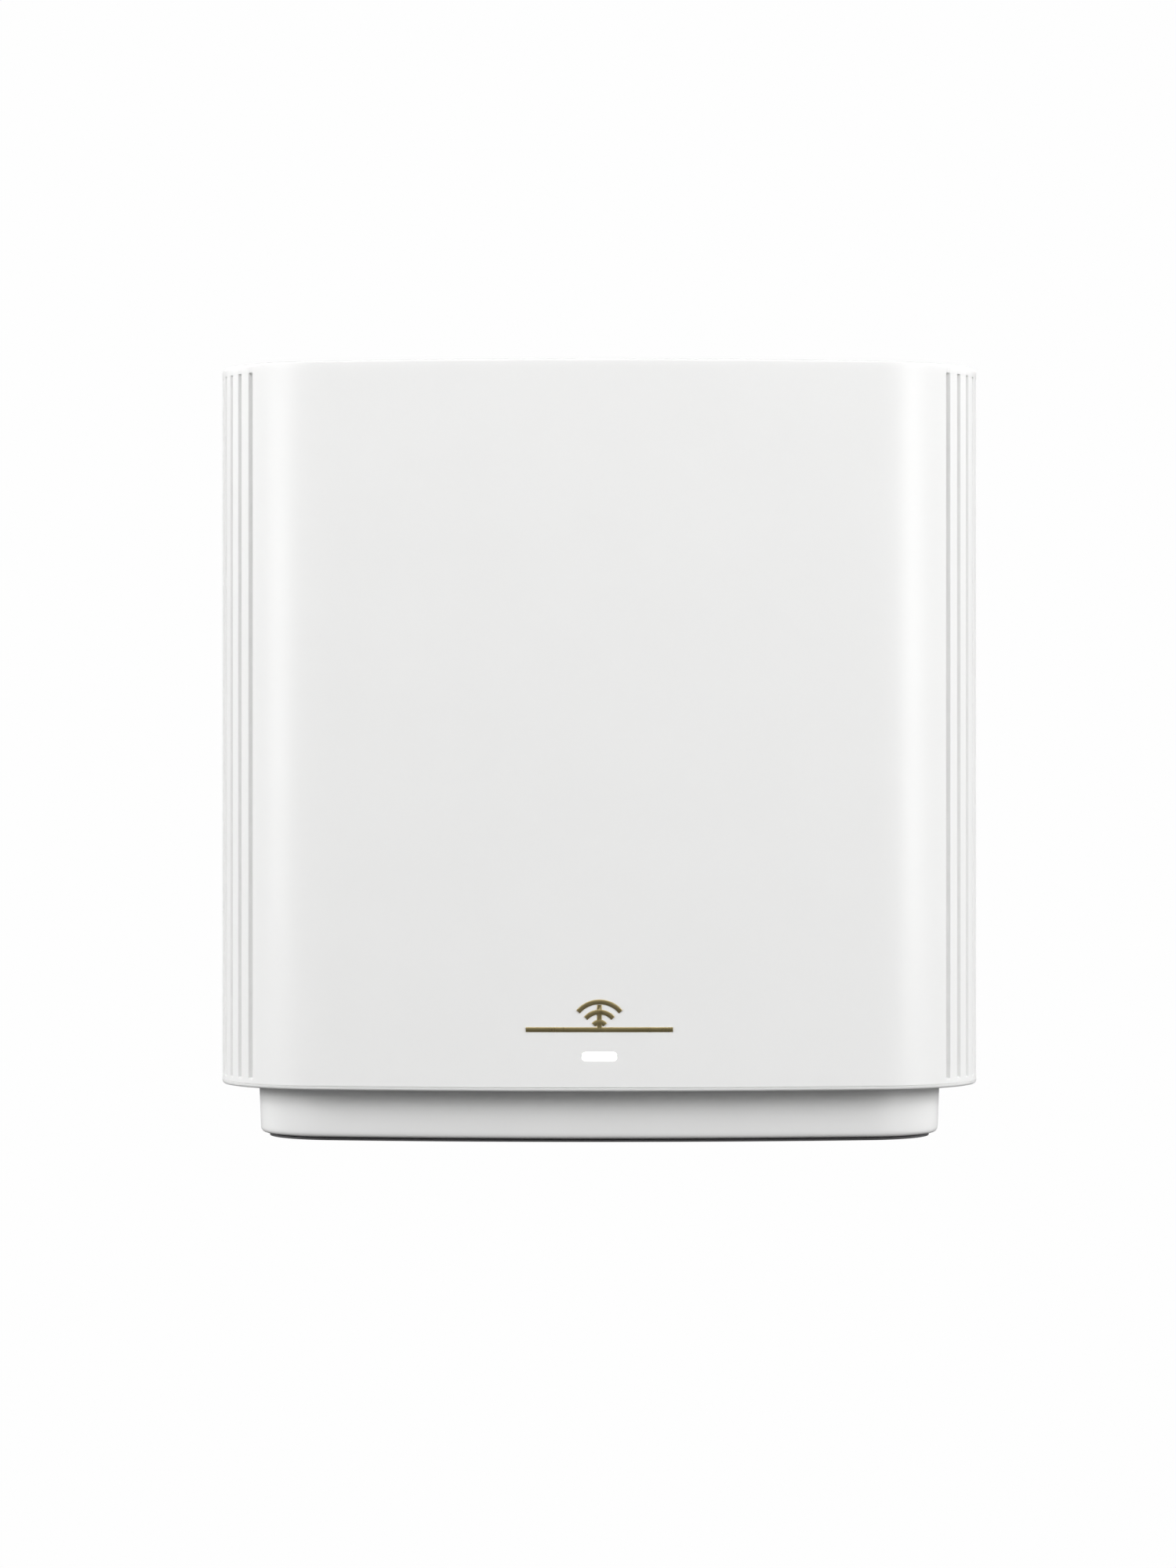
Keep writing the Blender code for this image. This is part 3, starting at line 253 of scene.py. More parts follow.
# %% [markdown]
# Each finish is one call. It names two tones that the surface wanders between, how rough it is and how
# deep its grain is. The mechanical model's material slots have the same names as the finishes here.

# %% The finishes
def material(name, light, dark, roughness, grain=3500.0, depth=0.1, variation=0.05, brushed=False,
             metallic=0.0):
    """A Principled material whose colour, roughness and normal come from the shared groups."""
    made = bpy.data.materials.new(name)
    made.use_nodes = True
    made.diffuse_color = (*light, 1.0)
    tree = made.node_tree
    shader = tree.nodes["Principled BSDF"]
    tone, skin = (tree.nodes.new("ShaderNodeGroup") for _ in range(2))
    tone.node_tree, skin.node_tree = tone_group, brushed_group if brushed else skin_group
    for label, colour in (("Light", light), ("Dark", dark)):
        tone.inputs[label].default_value = (*colour, 1.0)
    skin.inputs["Fineness" if brushed else "Grain"].default_value = grain
    for label, value in (("Depth", depth), ("Roughness", roughness), ("Variation", variation)):
        skin.inputs[label].default_value = value
    tree.links.new(tone.outputs["Color"], shader.inputs["Base Color"])
    for label in ("Roughness", "Normal"):
        tree.links.new(skin.outputs[label], shader.inputs[label])
    shader.inputs["Metallic"].default_value = metallic
    return made


def metal(name, light, dark, roughness):
    return material(name, light, dark, roughness, grain=900.0, depth=0.3, variation=0.25, brushed=True,
                    metallic=1.0)


look = {
    "shell": material("shell", (0.86, 0.86, 0.855), (0.84, 0.84, 0.835), 0.36, grain=4200.0, depth=0.12),
    # The base is the same white plastic as the shell, but its colour is painted lighter: painted light that
    # stands for light the base lacks in the housing's shade.
    "base": material("base", (0.90, 0.90, 0.895), (0.87, 0.87, 0.865), 0.30, grain=4200.0, depth=0.08),
    "foot": material("foot", (0.140, 0.140, 0.144), (0.100, 0.100, 0.103), 0.72, grain=1600.0, depth=0.5,
                     variation=0.15),
    "badge": metal("badge", (0.62, 0.51, 0.26), (0.56, 0.45, 0.22), 0.30),
    "light": material("light", (0.95, 0.95, 0.94), (0.90, 0.90, 0.89), 0.25, depth=0.03),
    "panel": material("panel", (0.80, 0.80, 0.795), (0.76, 0.76, 0.755), 0.42, grain=2600.0, depth=0.25),
    "button": material("button", (0.55, 0.55, 0.555), (0.50, 0.50, 0.505), 0.34, grain=3000.0),
    "black": material("black", (0.022, 0.022, 0.023), (0.013, 0.013, 0.014), 0.40, grain=2400.0, depth=0.2),
    "frame": material("frame", (0.060, 0.060, 0.062), (0.042, 0.042, 0.044), 0.55, grain=1800.0, depth=0.3),
    "tin": metal("tin", (0.70, 0.70, 0.68), (0.60, 0.60, 0.58), 0.26),
    "sink": metal("sink", (0.62, 0.63, 0.64), (0.52, 0.53, 0.54), 0.42),
    "pad": material("pad", (0.40, 0.45, 0.52), (0.34, 0.38, 0.45), 0.75, grain=900.0, depth=0.4),
    "gold": metal("gold", (0.90, 0.68, 0.30), (0.80, 0.58, 0.24), 0.20),
    "wan": material("wan", (0.030, 0.120, 0.420), (0.022, 0.095, 0.340), 0.38, grain=2400.0, depth=0.2),
    "steel": metal("steel", (0.48, 0.48, 0.49), (0.38, 0.38, 0.39), 0.32),
    "cable": material("cable", (0.045, 0.045, 0.047), (0.030, 0.030, 0.031), 0.45, grain=1500.0, depth=0.2),
}
print("finishes:", len(look) + 1)

# %% [markdown]
# The solder mask needs one step more: where the copper lies the mask is lighter, so the track group mixes
# a second tone into the first. A thin clear coat lies over both.

# %% The solder mask
COPPER_TONE = (0.030, 0.190, 0.095, 1.0)


def solder_mask():
    made = material("board", (0.010, 0.085, 0.050), (0.007, 0.065, 0.038), 0.32, grain=900.0, depth=0.15)
    tree = made.node_tree
    shader = tree.nodes["Principled BSDF"]
    tracks = tree.nodes.new("ShaderNodeGroup")
    tracks.node_tree = track_group
    plain = shader.inputs["Base Color"].links[0].from_socket
    tone = colour_mix(tree, tracks.outputs["Tracks"], plain, COPPER_TONE)
    tree.links.new(tone, shader.inputs["Base Color"])
    shader.inputs["Coat Weight"].default_value = 0.4
    return made


look["board"] = solder_mask()
glow = look["light"].node_tree.nodes["Principled BSDF"]
glow.inputs["Emission Color"].default_value = (1.0, 0.995, 0.98, 1.0)
glow.inputs["Emission Strength"].default_value = 0.6
print("solder mask and status light ready")

# %% [markdown]
# ## Building meshes
#
# Most parts here are skins over a row of rings: the same number of points at each step, joined by quads.
# The helpers make such a skin, round its sharp edges, and hand the finished mesh to the model: `place`
# says which body a piece moves with, which finish it takes and which parts of the mechanical model it
# stands for.

# %% Mesh helpers
def object_of(name, bm):
    """An object in the scene that holds the mesh under construction."""
    mesh = bpy.data.meshes.new(name)
    bm.to_mesh(mesh)
    bm.free()
    made = bpy.data.objects.new(name, mesh)
    bpy.context.scene.collection.objects.link(made)
    return made


def skin_over(bm, rings, looped=False):
    """Quads over a row of rings of points, capped at both ends or looped back to the first ring."""
    loops = [[bm.verts.new(point) for point in ring] for ring in rings]
    pairs = list(zip(loops, loops[1:])) + ([(loops[-1], loops[0])] if looped else [])
    for first, second in pairs:
        for i in range(len(first)):
            j = (i + 1) % len(first)
            bm.faces.new((first[i], first[j], second[j], second[i]))
    if not looped:
        bm.faces.new(loops[0])
        bm.faces.new(reversed(loops[-1]))


def piece(name, build):
    """An object for a mesh whose faces build(bm) makes."""
    bm = bmesh.new()
    build(bm)
    bmesh.ops.recalc_face_normals(bm, faces=bm.faces)
    return object_of(name, bm)


def applied(thing):
    """Turns the object's modifiers into its plain mesh."""
    graph = bpy.context.evaluated_depsgraph_get()
    mesh = bpy.data.meshes.new_from_object(thing.evaluated_get(graph))
    thing.modifiers.clear()
    thing.data = mesh
    mesh.name = thing.name
    return thing


def boolean(thing, operation, *others):
    """Joins or cuts the object with others, which are then removed."""
    for other in others:
        step = thing.modifiers.new(operation, "BOOLEAN")
        step.operation, step.solver, step.object = operation, "EXACT", other
    applied(thing)
    for other in others:
        bpy.data.objects.remove(other)
    return thing


def rounded(thing, width, segments=3, degrees=30):
    """Bevels every edge that is sharper than an angle."""
    step = thing.modifiers.new("edges", "BEVEL")
    step.width, step.segments, step.limit_method = width, segments, "ANGLE"
    step.angle_limit = math.radians(degrees)
    step.use_clamp_overlap = True
    return applied(thing)


def shaded(thing, degrees=35):
    thing.data.shade_smooth()
    thing.data.set_sharp_from_angle(angle=math.radians(degrees))
    return thing


def place(thing, finish, *replaced, body="housing", slot=None):
    """Gives a finished piece its material and its body, and hides the parts of the model that it stands for.
    """
    thing.data.materials.clear()
    thing.data.materials.append(look[finish])
    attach(thing, body)
    if replaced:
        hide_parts(*replaced)
    print(thing.name, "faces:", len(thing.data.polygons))
    return thing


# %% [markdown]
# ## The housing's outline
#
# Seen from above the housing is a rectangle whose sides bulge: three arcs to each quarter, which meet
# smoothly. A point of the outline is found from the direction that it faces. Along each end run fifteen
# upright grooves. Here each groove has a rounded section and a soft run-out, where the mechanical model
# has a plain V.

# %% The outline
WIDTH, DEPTH = sleeve_high.x - sleeve_low.x, sleeve_high.y - sleeve_low.y
BODY_BOTTOM, HEIGHT = sleeve_low.z, sleeve_high.z
SIDE_RADIUS, CORNER_RADIUS, FRONT_RADIUS = 0.150, 0.026, 0.355
GROOVE_PITCH, GROOVE_WIDTH, GROOVE_DEPTH = 0.003857, 0.0014, 0.0011
GROOVE_FLOOR = 0.25  # share of a groove's width that is its flat floor
GROOVES_EACH_WAY = 7
SLEEVE_WALL = 0.0022
CORNER_STEPS, FRONT_STEPS, GROOVE_STEPS = 28, 22, 12


def corner_arc():
    """The centre of the corner arc of the +X +Y quarter, which touches the side and front arcs."""
    side, front = WIDTH / 2 - SIDE_RADIUS, DEPTH / 2 - FRONT_RADIUS
    to_side, to_front = SIDE_RADIUS - CORNER_RADIUS, FRONT_RADIUS - CORNER_RADIUS
    apart = math.hypot(side, front)
    along = (to_side**2 - to_front**2 + apart**2) / (2 * apart)
    off = math.sqrt(to_side**2 - along**2)
    dx, dy = -side / apart, front / apart
    return side + along * dx - off * dy, along * dy + off * dx


SIDE_CENTRE, FRONT_CENTRE = (WIDTH / 2 - SIDE_RADIUS, 0.0), (0.0, DEPTH / 2 - FRONT_RADIUS)
CORNER_CENTRE = corner_arc()
SIDE_TURN = math.atan2(CORNER_CENTRE[1], CORNER_CENTRE[0] - SIDE_CENTRE[0])
FRONT_TURN = math.atan2(CORNER_CENTRE[1] - FRONT_CENTRE[1], CORNER_CENTRE[0])
print("arcs meet at", round(math.degrees(SIDE_TURN), 2), "and", round(math.degrees(FRONT_TURN), 2), "degrees")


def facing(along):
    """The direction that the outline faces, at a distance along it from the middle of the side."""
    side_length = SIDE_RADIUS * SIDE_TURN
    if along < side_length:
        return along / SIDE_RADIUS
    return SIDE_TURN + (along - side_length) / CORNER_RADIUS


def outline_point(angle, inset):
    if angle < SIDE_TURN:
        centre, radius = SIDE_CENTRE, SIDE_RADIUS
    elif angle < FRONT_TURN:
        centre, radius = CORNER_CENTRE, CORNER_RADIUS
    else:
        centre, radius = FRONT_CENTRE, FRONT_RADIUS
    reach = radius - inset
    return centre[0] + reach * math.cos(angle), centre[1] + reach * math.sin(angle)


def spread(start, end, count):
    """Values that part a stretch into equal steps, with its end but not its start."""
    return [start + (end - start) * (i + 1) / count for i in range(count)]


def groove_share(along):
    """How deep the grooves are at a distance along the outline, as a share of their full depth."""
    nearest = round(along / GROOVE_PITCH)
    off = abs(along - nearest * GROOVE_PITCH) / (GROOVE_WIDTH / 2)
    if nearest > GROOVES_EACH_WAY or off >= 1.0:
        return 0.0
    return 0.5 + 0.5 * math.cos(math.pi * max(0.0, off - GROOVE_FLOOR) / (1.0 - GROOVE_FLOOR))


def quarter(fluted):
    """Where a quarter of the outline has its points, as (direction, groove share)."""
    found = [(0.0, 1.0 if fluted else 0.0)]
    last = 0.0
    if fluted:
        for number in range(GROOVES_EACH_WAY + 1):
            middle = number * GROOVE_PITCH
            for step in range(-GROOVE_STEPS // 2, GROOVE_STEPS // 2 + 1):
                along = middle + GROOVE_WIDTH * step / GROOVE_STEPS
                if along > last:
                    found.append((facing(along), groove_share(along)))
                    last = along
            if number < GROOVES_EACH_WAY:
                found.append((facing(middle + GROOVE_PITCH / 2), 0.0))
                last = middle + GROOVE_PITCH / 2
    else:
        found.append((SIDE_TURN, 0.0))
    rest = spread(found[-1][0], FRONT_TURN, CORNER_STEPS) + spread(FRONT_TURN, math.pi / 2, FRONT_STEPS)
    return found + [(angle, 0.0) for angle in rest]


PLAIN, FLUTED = quarter(False), quarter(True)


def ring(points, inset, z, depth=0.0):
    """The whole outline at one level: a quarter, mirrored over both axes."""
    part = [outline_point(angle, inset + depth * share) for angle, share in points]
    half = part + [(-x, y) for x, y in reversed(part[:-1])]
    whole = half + [(x, -y) for x, y in reversed(half[1:-1])]
    return [(x, y, z) for x, y in whole]


def fillet(corner, start, end, steps):
    """(inset, z) points that round a corner of a profile from one point to another."""
    points = []
    for i in range(steps + 1):
        t = i / steps
        weights = (1 - t) ** 2, 2 * t * (1 - t), t**2
        points.append(tuple(sum(w * p[k] for w, p in zip(weights, (start, corner, end))) for k in (0, 1)))
    return points


print("points round the fluted outline:", len(ring(FLUTED, 0, 0)))

# %% [markdown]
# ## The sleeve
#
# The sleeve is one closed skin: up the outside, over a rounded top edge, down the inside and back along
# the lip at the bottom. A fine seam runs round it just above the bottom rim. The rear window and the slot
# of the status light are cut from it afterwards, with rounded corners.

# %% The sleeve
TOP_EDGE, BOTTOM_EDGE = 0.0006, 0.00065
SEAM_HEIGHT, SEAM_WIDTH, SEAM_DEPTH = 0.0007, 0.0002, 0.0003
GROOVE_MARGIN, GROOVE_RUN_OUT, RUN_OUT_STEPS = 0.0018, 0.0004, 6
LIP_THICKNESS, LIP_INSET = 0.0015, 0.0040
INNER_EDGE = 0.0003


def sleeve_rings():
    low, high = BODY_BOTTOM, HEIGHT
    seam = low + SEAM_HEIGHT
    slope = SEAM_WIDTH / 4
    rim = fillet((0, low), (BOTTOM_EDGE, low), (0, low + BOTTOM_EDGE), 4)
    rim += [(0, seam), (SEAM_DEPTH, seam + slope)]
    rim += [(SEAM_DEPTH, seam + SEAM_WIDTH - slope), (0, seam + SEAM_WIDTH)]
    rings = [ring(FLUTED, *p) for p in rim]
    for start, end, rising in (
        (low + GROOVE_MARGIN, low + GROOVE_MARGIN + GROOVE_RUN_OUT, True),
        (high - GROOVE_MARGIN - GROOVE_RUN_OUT, high - GROOVE_MARGIN, False),
    ):
        for i in range(RUN_OUT_STEPS + 1):
            t = i / RUN_OUT_STEPS
            share = 0.5 - 0.5 * math.cos(math.pi * (t if rising else 1 - t))
            rings.append(ring(FLUTED, 0, start + (end - start) * t, GROOVE_DEPTH * share))
    rings += [ring(FLUTED, *p) for p in fillet((0, high), (0, high - TOP_EDGE), (TOP_EDGE, high), 6)]
    wall = SLEEVE_WALL
    inner = fillet((wall, high), (wall - INNER_EDGE, high), (wall, high - INNER_EDGE), 3)
    lip = [(wall, low + LIP_THICKNESS), (LIP_INSET, low + LIP_THICKNESS)]
    end = fillet((LIP_INSET, low), (LIP_INSET, low + INNER_EDGE), (LIP_INSET - INNER_EDGE, low), 3)
    return rings + [ring(FLUTED, *p) for p in inner + lip + end]


def rounded_slot(name, x, z, width, height, radius, y0, y1, steps=8):
    """A cutter or a plug with rounded corners, upright and facing along Y."""
    def build(bm):
        outline = []
        for cx, cz, first in ((1, 1, 0), (-1, 1, 90), (-1, -1, 180), (1, -1, 270)):
            for i in range(steps + 1):
                a = math.radians(first + 90 * i / steps)
                outline.append((x + cx * (width / 2 - radius) + radius * math.cos(a),
                                z + cz * (height / 2 - radius) + radius * math.sin(a)))
        skin_over(bm, [[(u, y, v) for u, v in outline] for y in (y0, y1)])
    return piece(name, build)


def middle_and_size(low, high):
    return (low + high) / 2, high - low


sleeve = piece("housing_sleeve", lambda bm: skin_over(bm, sleeve_rings(), looped=True))
GAP = 0.0003  # the mechanical model keeps this much between parts that touch
panel_low, panel_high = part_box("rear_panel")
lens_low, lens_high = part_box("status_lens")
panel_mid, panel_size = middle_and_size(panel_low, panel_high)
lens_mid, lens_size = middle_and_size(lens_low, lens_high)
window = rounded_slot("window", panel_mid.x, panel_mid.z, panel_size.x + 2 * GAP, panel_size.z + 2 * GAP,
                      0.0022, 0.0, DEPTH)
light_slot = rounded_slot("light_slot", lens_mid.x, lens_mid.z, lens_size.x + GAP, lens_size.z + GAP,
                          (lens_size.z + GAP) / 2, FACE_Y - 0.01, FACE_Y + 0.006)
boolean(sleeve, "DIFFERENCE", window, light_slot)
place(shaded(sleeve), "shell", "outer_sleeve")

# %% [markdown]
# ## The top cover and its vents
#
# The cover lies sunk inside the sleeve's rim. Its slots are made by a Geometry Nodes tree: a grid of
# points, a capsule on each, and one Boolean that cuts them all. The tree's inputs name what can be
# changed: the number of slots, their pitch, length and width, and the distance of the two rows. The base
# uses the same tree with other values.

# %% The vent tree
VENT_COUNT, VENT_PITCH, VENT_WIDTH = 17, 0.0060, 0.0020


def new_mesh_tree(name, sizes):
    """A Geometry Nodes tree that takes a mesh, some sizes and a finish, and gives out a mesh."""
    inputs = {"Geometry": "NodeSocketGeometry", **sizes, "Finish": "NodeSocketMaterial"}
    return new_group(name, inputs, {"Geometry": "NodeSocketGeometry"}, "GeometryNodeTree")


def combined(tree, **parts):
    """A vector from its parts."""
    return new_node(tree, "ShaderNodeCombineXYZ", **parts).outputs[0]


def line_of_points(tree, given, **start):
    """Points along X at the tree's count and pitch, centred on zero."""
    steps = maths(tree, "SUBTRACT", given.outputs["Count"], 1.0)
    half = maths(tree, "MULTIPLY", maths(tree, "MULTIPLY", steps, given.outputs["Pitch"]), -0.5)
    line = new_node(tree, "GeometryNodeMeshLine", Count=given.outputs["Count"],
                    Start_Location=combined(tree, X=half, **start),
                    Offset=combined(tree, X=given.outputs["Pitch"]))
    return line.outputs["Mesh"]


def joined(tree, meshes):
    join = tree.nodes.new("GeometryNodeJoinGeometry")
    for mesh in meshes:
        tree.links.new(mesh, join.inputs[0])
    return join.outputs[0]


def copies_on(tree, points, shape, **more):
    """Real copies of a shape, one on each point."""
    copies = new_node(tree, "GeometryNodeInstanceOnPoints", Points=points, Instance=shape, **more)
    return new_node(tree, "GeometryNodeRealizeInstances", Geometry=copies.outputs[0]).outputs[0]


def mesh_boolean(tree, operation, others, first=None):
    """A Boolean of meshes. A difference takes the others away from the first."""
    node = tree.nodes.new("GeometryNodeMeshBoolean")
    node.operation, node.solver = operation, "EXACT"
    if first is not None:
        tree.links.new(first, node.inputs["Mesh 1"])
    for mesh in others:
        tree.links.new(mesh, node.inputs["Mesh 2"])
    return node.outputs["Mesh"]


def give_mesh(tree, given, result, mesh):
    """Ends a tree: the mesh takes the finish and goes out."""
    done = new_node(tree, "GeometryNodeSetMaterial", Geometry=mesh, Material=given.outputs["Finish"])
    tree.links.new(done.outputs[0], result.inputs["Geometry"])


def build_vent_tree():
    sizes = {"Count": VENT_COUNT, "Pitch": VENT_PITCH, "Length": 0.015, "Width": VENT_WIDTH, "Row": 0.014,
             "Depth": 0.01, "Level": 0.0}
    tree, given, result = new_mesh_tree("vent_slots", sizes)
    value = given.outputs
    # Points: one line along X for each of the two rows.
    lines = [line_of_points(tree, given, Y=maths(tree, "MULTIPLY", value["Row"], side), Z=value["Level"])
             for side in (-1.0, 1.0)]
    # One capsule: a rounded rectangle curve, filled and given depth.
    outline = new_node(tree, "GeometryNodeCurvePrimitiveQuadrilateral", Width=value["Width"],
                       Height=value["Length"])
    corners = tree.nodes.new("GeometryNodeFilletCurve")
    corners.mode = "POLY"
    feed(tree, corners.inputs["Curve"], outline.outputs[0])
    feed(tree, corners.inputs["Count"], 6)
    feed(tree, corners.inputs["Radius"], maths(tree, "MULTIPLY", value["Width"], 0.499))
    face = new_node(tree, "GeometryNodeFillCurve", Curve=corners.outputs[0])
    face.mode = "NGONS"
    down = combined(tree, Z=maths(tree, "MULTIPLY", value["Depth"], -0.5))
    low = new_node(tree, "GeometryNodeTransform", Geometry=face.outputs[0], Translation=down).outputs[0]
    tall = new_node(tree, "GeometryNodeExtrudeMesh", Mesh=low, Offset_Scale=value["Depth"])
    end = new_node(tree, "GeometryNodeFlipFaces", Mesh=low)
    capsule = joined(tree, (tall.outputs["Mesh"], end.outputs[0]))
    closed = new_node(tree, "GeometryNodeMergeByDistance", Geometry=capsule, Distance=1e-6).outputs[0]
    # Copies of the capsule, and the cut.
    slots = copies_on(tree, joined(tree, lines), closed)
    give_mesh(tree, given, result, mesh_boolean(tree, "DIFFERENCE", [slots], value["Geometry"]))
    return tree


def with_tree(thing, tree, **values):
    """Runs a Geometry Nodes tree on the object, with its inputs set by name, and keeps the plain mesh."""
    step = thing.modifiers.new(tree.name, "NODES")
    step.node_group = tree
    for socket in tree.interface.items_tree:
        if socket.in_out == "INPUT" and socket.name in values:
            step[socket.identifier] = values[socket.name]
    return applied(thing)


vent_tree = build_vent_tree()
print("vent tree inputs:", [s.name for s in vent_tree.interface.items_tree if s.in_out == "INPUT"])

# %% [markdown]
# The cover itself is a slab with a rounded rim. Its outline is the sleeve's own, drawn inwards by the
# thickness of the wall, so the gap round it is even. The tree then cuts both rows of slots in one step.

# %% The top cover
cover_low, cover_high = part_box("top_cover")
COVER_INSET = SLEEVE_WALL + GAP / 3
COVER_EDGE = 0.0004


def cover_rings():
    low, high = cover_low.z, cover_high.z
    edge = fillet((COVER_INSET, high), (COVER_INSET, high - COVER_EDGE), (COVER_INSET + COVER_EDGE, high), 4)
    return [ring(PLAIN, COVER_INSET, low)] + [ring(PLAIN, *p) for p in edge]


cover = piece("housing_top_cover", lambda bm: skin_over(bm, cover_rings()))
with_tree(cover, vent_tree, Count=VENT_COUNT, Pitch=VENT_PITCH, Length=0.0150, Width=VENT_WIDTH, Row=0.0140,
          Depth=0.0100, Level=cover_low.z, Finish=look["shell"])
place(shaded(cover), "shell", "top_cover")

# %% [markdown]
# ## The sign
#
# The sign on the front is a plain mark for a radio mast: a base line, a mast and three waves. Each stroke
# is a rounded section swept along its path, and every point is then moved back by the front's own curve,
# so that the sign lies against the face.

# %% The sign
BADGE_LOW, BADGE_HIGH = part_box("badge")
BADGE_STROKE, BADGE_EDGE = 0.0010, 0.00015
BADGE_PROUD, BADGE_SUNK = 0.00018, 0.0003


def face_y(x):
    """The front face's Y at a distance from the middle."""
    return FACE_Y + FRONT_RADIUS - math.sqrt(FRONT_RADIUS**2 - x**2)


def stroke(name, path):
    """A bar of rounded section along a path of (x, z) points on the front face."""
    half = BADGE_STROKE / 2
    section = [(-half, BADGE_SUNK)]
    section += [(-half + a, b) for a, b in fillet((0, -BADGE_PROUD), (0, BADGE_EDGE - BADGE_PROUD),
                                                 (BADGE_EDGE, -BADGE_PROUD), 3)]
    section += [(-across, deep) for across, deep in reversed(section)]

    def build(bm):
        rings = []
        for i, (x, z) in enumerate(path):
            before, after = path[max(i - 1, 0)], path[min(i + 1, len(path) - 1)]
            along = Vector((after[0] - before[0], after[1] - before[1])).normalized()
            points = [(x - along.y * a, z + along.x * a, deep) for a, deep in section]
            rings.append([(u, face_y(u) + deep, v) for u, v, deep in points])
        skin_over(bm, rings)
    return piece(name, build)


def build_badge():
    low = BADGE_LOW.z + BADGE_STROKE / 2
    reach = BADGE_HIGH.x - BADGE_EDGE
    height = BADGE_HIGH.z - BADGE_LOW.z - BADGE_STROKE / 2
    line = stroke("sign", [(-reach + 2 * reach * i / 60, low) for i in range(61)])
    mast = stroke("mast", [(0.0, low + 0.0001 + (height - 0.0012) * i / 4) for i in range(5)])
    waves = []
    for number in (1, 2, 3):
        radius = height * number / 3 - BADGE_STROKE / 2
        angles = [math.radians(40 + 100 * i / 24) for i in range(25)]
        waves.append(stroke(f"wave_{number}", [(radius * math.cos(a), low + radius * math.sin(a))
                                               for a in reversed(angles)]))
    return boolean(line, "UNION", mast, *waves)


place(shaded(build_badge()), "badge", "badge")

# %% [markdown]
# ## The status light
#
# The light is a small glowing capsule that fills its slot and stands almost flush with the face. It uses
# the same helper as the slot's cutter, only slightly smaller, and then gets a soft edge.

# %% The status light
def build_lens():
    lens = rounded_slot("status_light", lens_mid.x, lens_mid.z, lens_size.x + GAP / 2, lens_size.z + GAP / 2,
                        (lens_size.z + GAP / 2) / 2 - 0.00001, FACE_Y - 0.00002, lens_high.y, steps=12)
    return rounded(lens, 0.00015, 3, 60)


place(shaded(build_lens()), "light", "status_lens")

# %% [markdown]
# ## The base
#
# The base is set back under the housing and tapers slightly. Its bottom edge is rounded, and a rubber
# ring under it is set back again, with a narrow neck that casts a fine dark line. Both are profiles that
# run once round the housing's outline, so one loop makes them.

# %% The base and the foot
base_low, base_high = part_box("base_plinth")
foot_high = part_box("rubber_foot")[1]
plate_low, plate_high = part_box("base_plate")
BASE_INSET, BASE_TAPER, BASE_WALL, BASE_LEDGE = 0.0077, 0.0004, 0.0020, 0.0015
FLANGE, FLANGE_THICKNESS, BASE_EDGE = 0.0025, 0.0020, 0.0014
FOOT_INSET, FOOT_WIDTH, FOOT_EDGE, FOOT_NECK = 0.0100, 0.0050, 0.00015, 0.0004
NECK_START = 0.30  # share of the ring's height below its neck
PLATE_THICKNESS = 0.0020


def base_profile():
    low, flange = base_low.z, base_high.z - FLANGE_THICKNESS
    lowest, wall = BASE_INSET + BASE_TAPER, BASE_INSET + BASE_WALL
    ledge = wall + BASE_LEDGE
    shelf = plate_low.z + PLATE_THICKNESS + GAP
    edge = fillet((lowest, low), (lowest + BASE_EDGE, low), (lowest, low + BASE_EDGE), 6)
    wall_low = low + BASE_EDGE
    rise = [(lowest - BASE_TAPER * i / 8, wall_low + (flange - low - BASE_EDGE) * i / 8)
            for i in range(1, 9)]
    top = base_high.z
    inside = [(FLANGE, flange), (FLANGE, top), (ledge, top), (ledge, shelf), (wall, shelf), (wall, low)]
    return edge + rise + inside


def foot_profile():
    outer, inner, high = FOOT_INSET, FOOT_INSET + FOOT_WIDTH, foot_high.z
    neck = high * NECK_START
    edge = fillet((outer, 0), (outer + FOOT_EDGE, 0), (outer, FOOT_EDGE), 3)
    step = [(outer, neck), (outer + FOOT_NECK, neck + 0.00005), (outer + FOOT_NECK, high), (inner, high)]
    return edge + step + fillet((inner, 0), (inner, FOOT_EDGE), (inner - FOOT_EDGE, 0), 3)


for name, profile, finish, node in (
    ("base_housing", base_profile(), "base", "base_plinth"),
    ("foot_ring", foot_profile(), "foot", "rubber_foot"),
):
    made = piece(name, lambda bm, p=profile: skin_over(bm, [ring(PLAIN, *at) for at in p], looped=True))
    place(shaded(made), finish, node)

# %% [markdown]
# The plate closes the base from below. Four posts are joined to it and drilled for the screws: a wide
# hole sinks the head, and a narrow one lets the shank through. Then the vent tree cuts its slots. Posts
# and holes are turned solids, rows of circles along an axis, and that helper also serves the sockets and
# the buttons.

# %% The base plate
SCREW_X = [(low.x + high.x) / 2 for low, high in (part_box(f"base_screw_{n}") for n in (1, 2, 3, 4))]
SCREW_Y = sum(corner.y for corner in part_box("base_screw_1")) / 2
HEAD_RADIUS, HEAD_HEIGHT, SHANK_RADIUS = 0.0027, 0.0013, 0.0015


def round_bar(name, at, profile, axis="Z", sides=40):
    """A turned solid through a point: rings of (distance along the axis, radius)."""
    rings = []
    for along, radius in profile:
        points = []
        for i in range(sides):
            a = 2 * math.pi * i / sides
            u, v = radius * math.cos(a), radius * math.sin(a)
            offset = Vector((u, v, along)) if axis == "Z" else Vector((u, along, v))
            points.append(Vector(at) + offset)
        rings.append(points)
    return piece(name, lambda bm: skin_over(bm, rings))


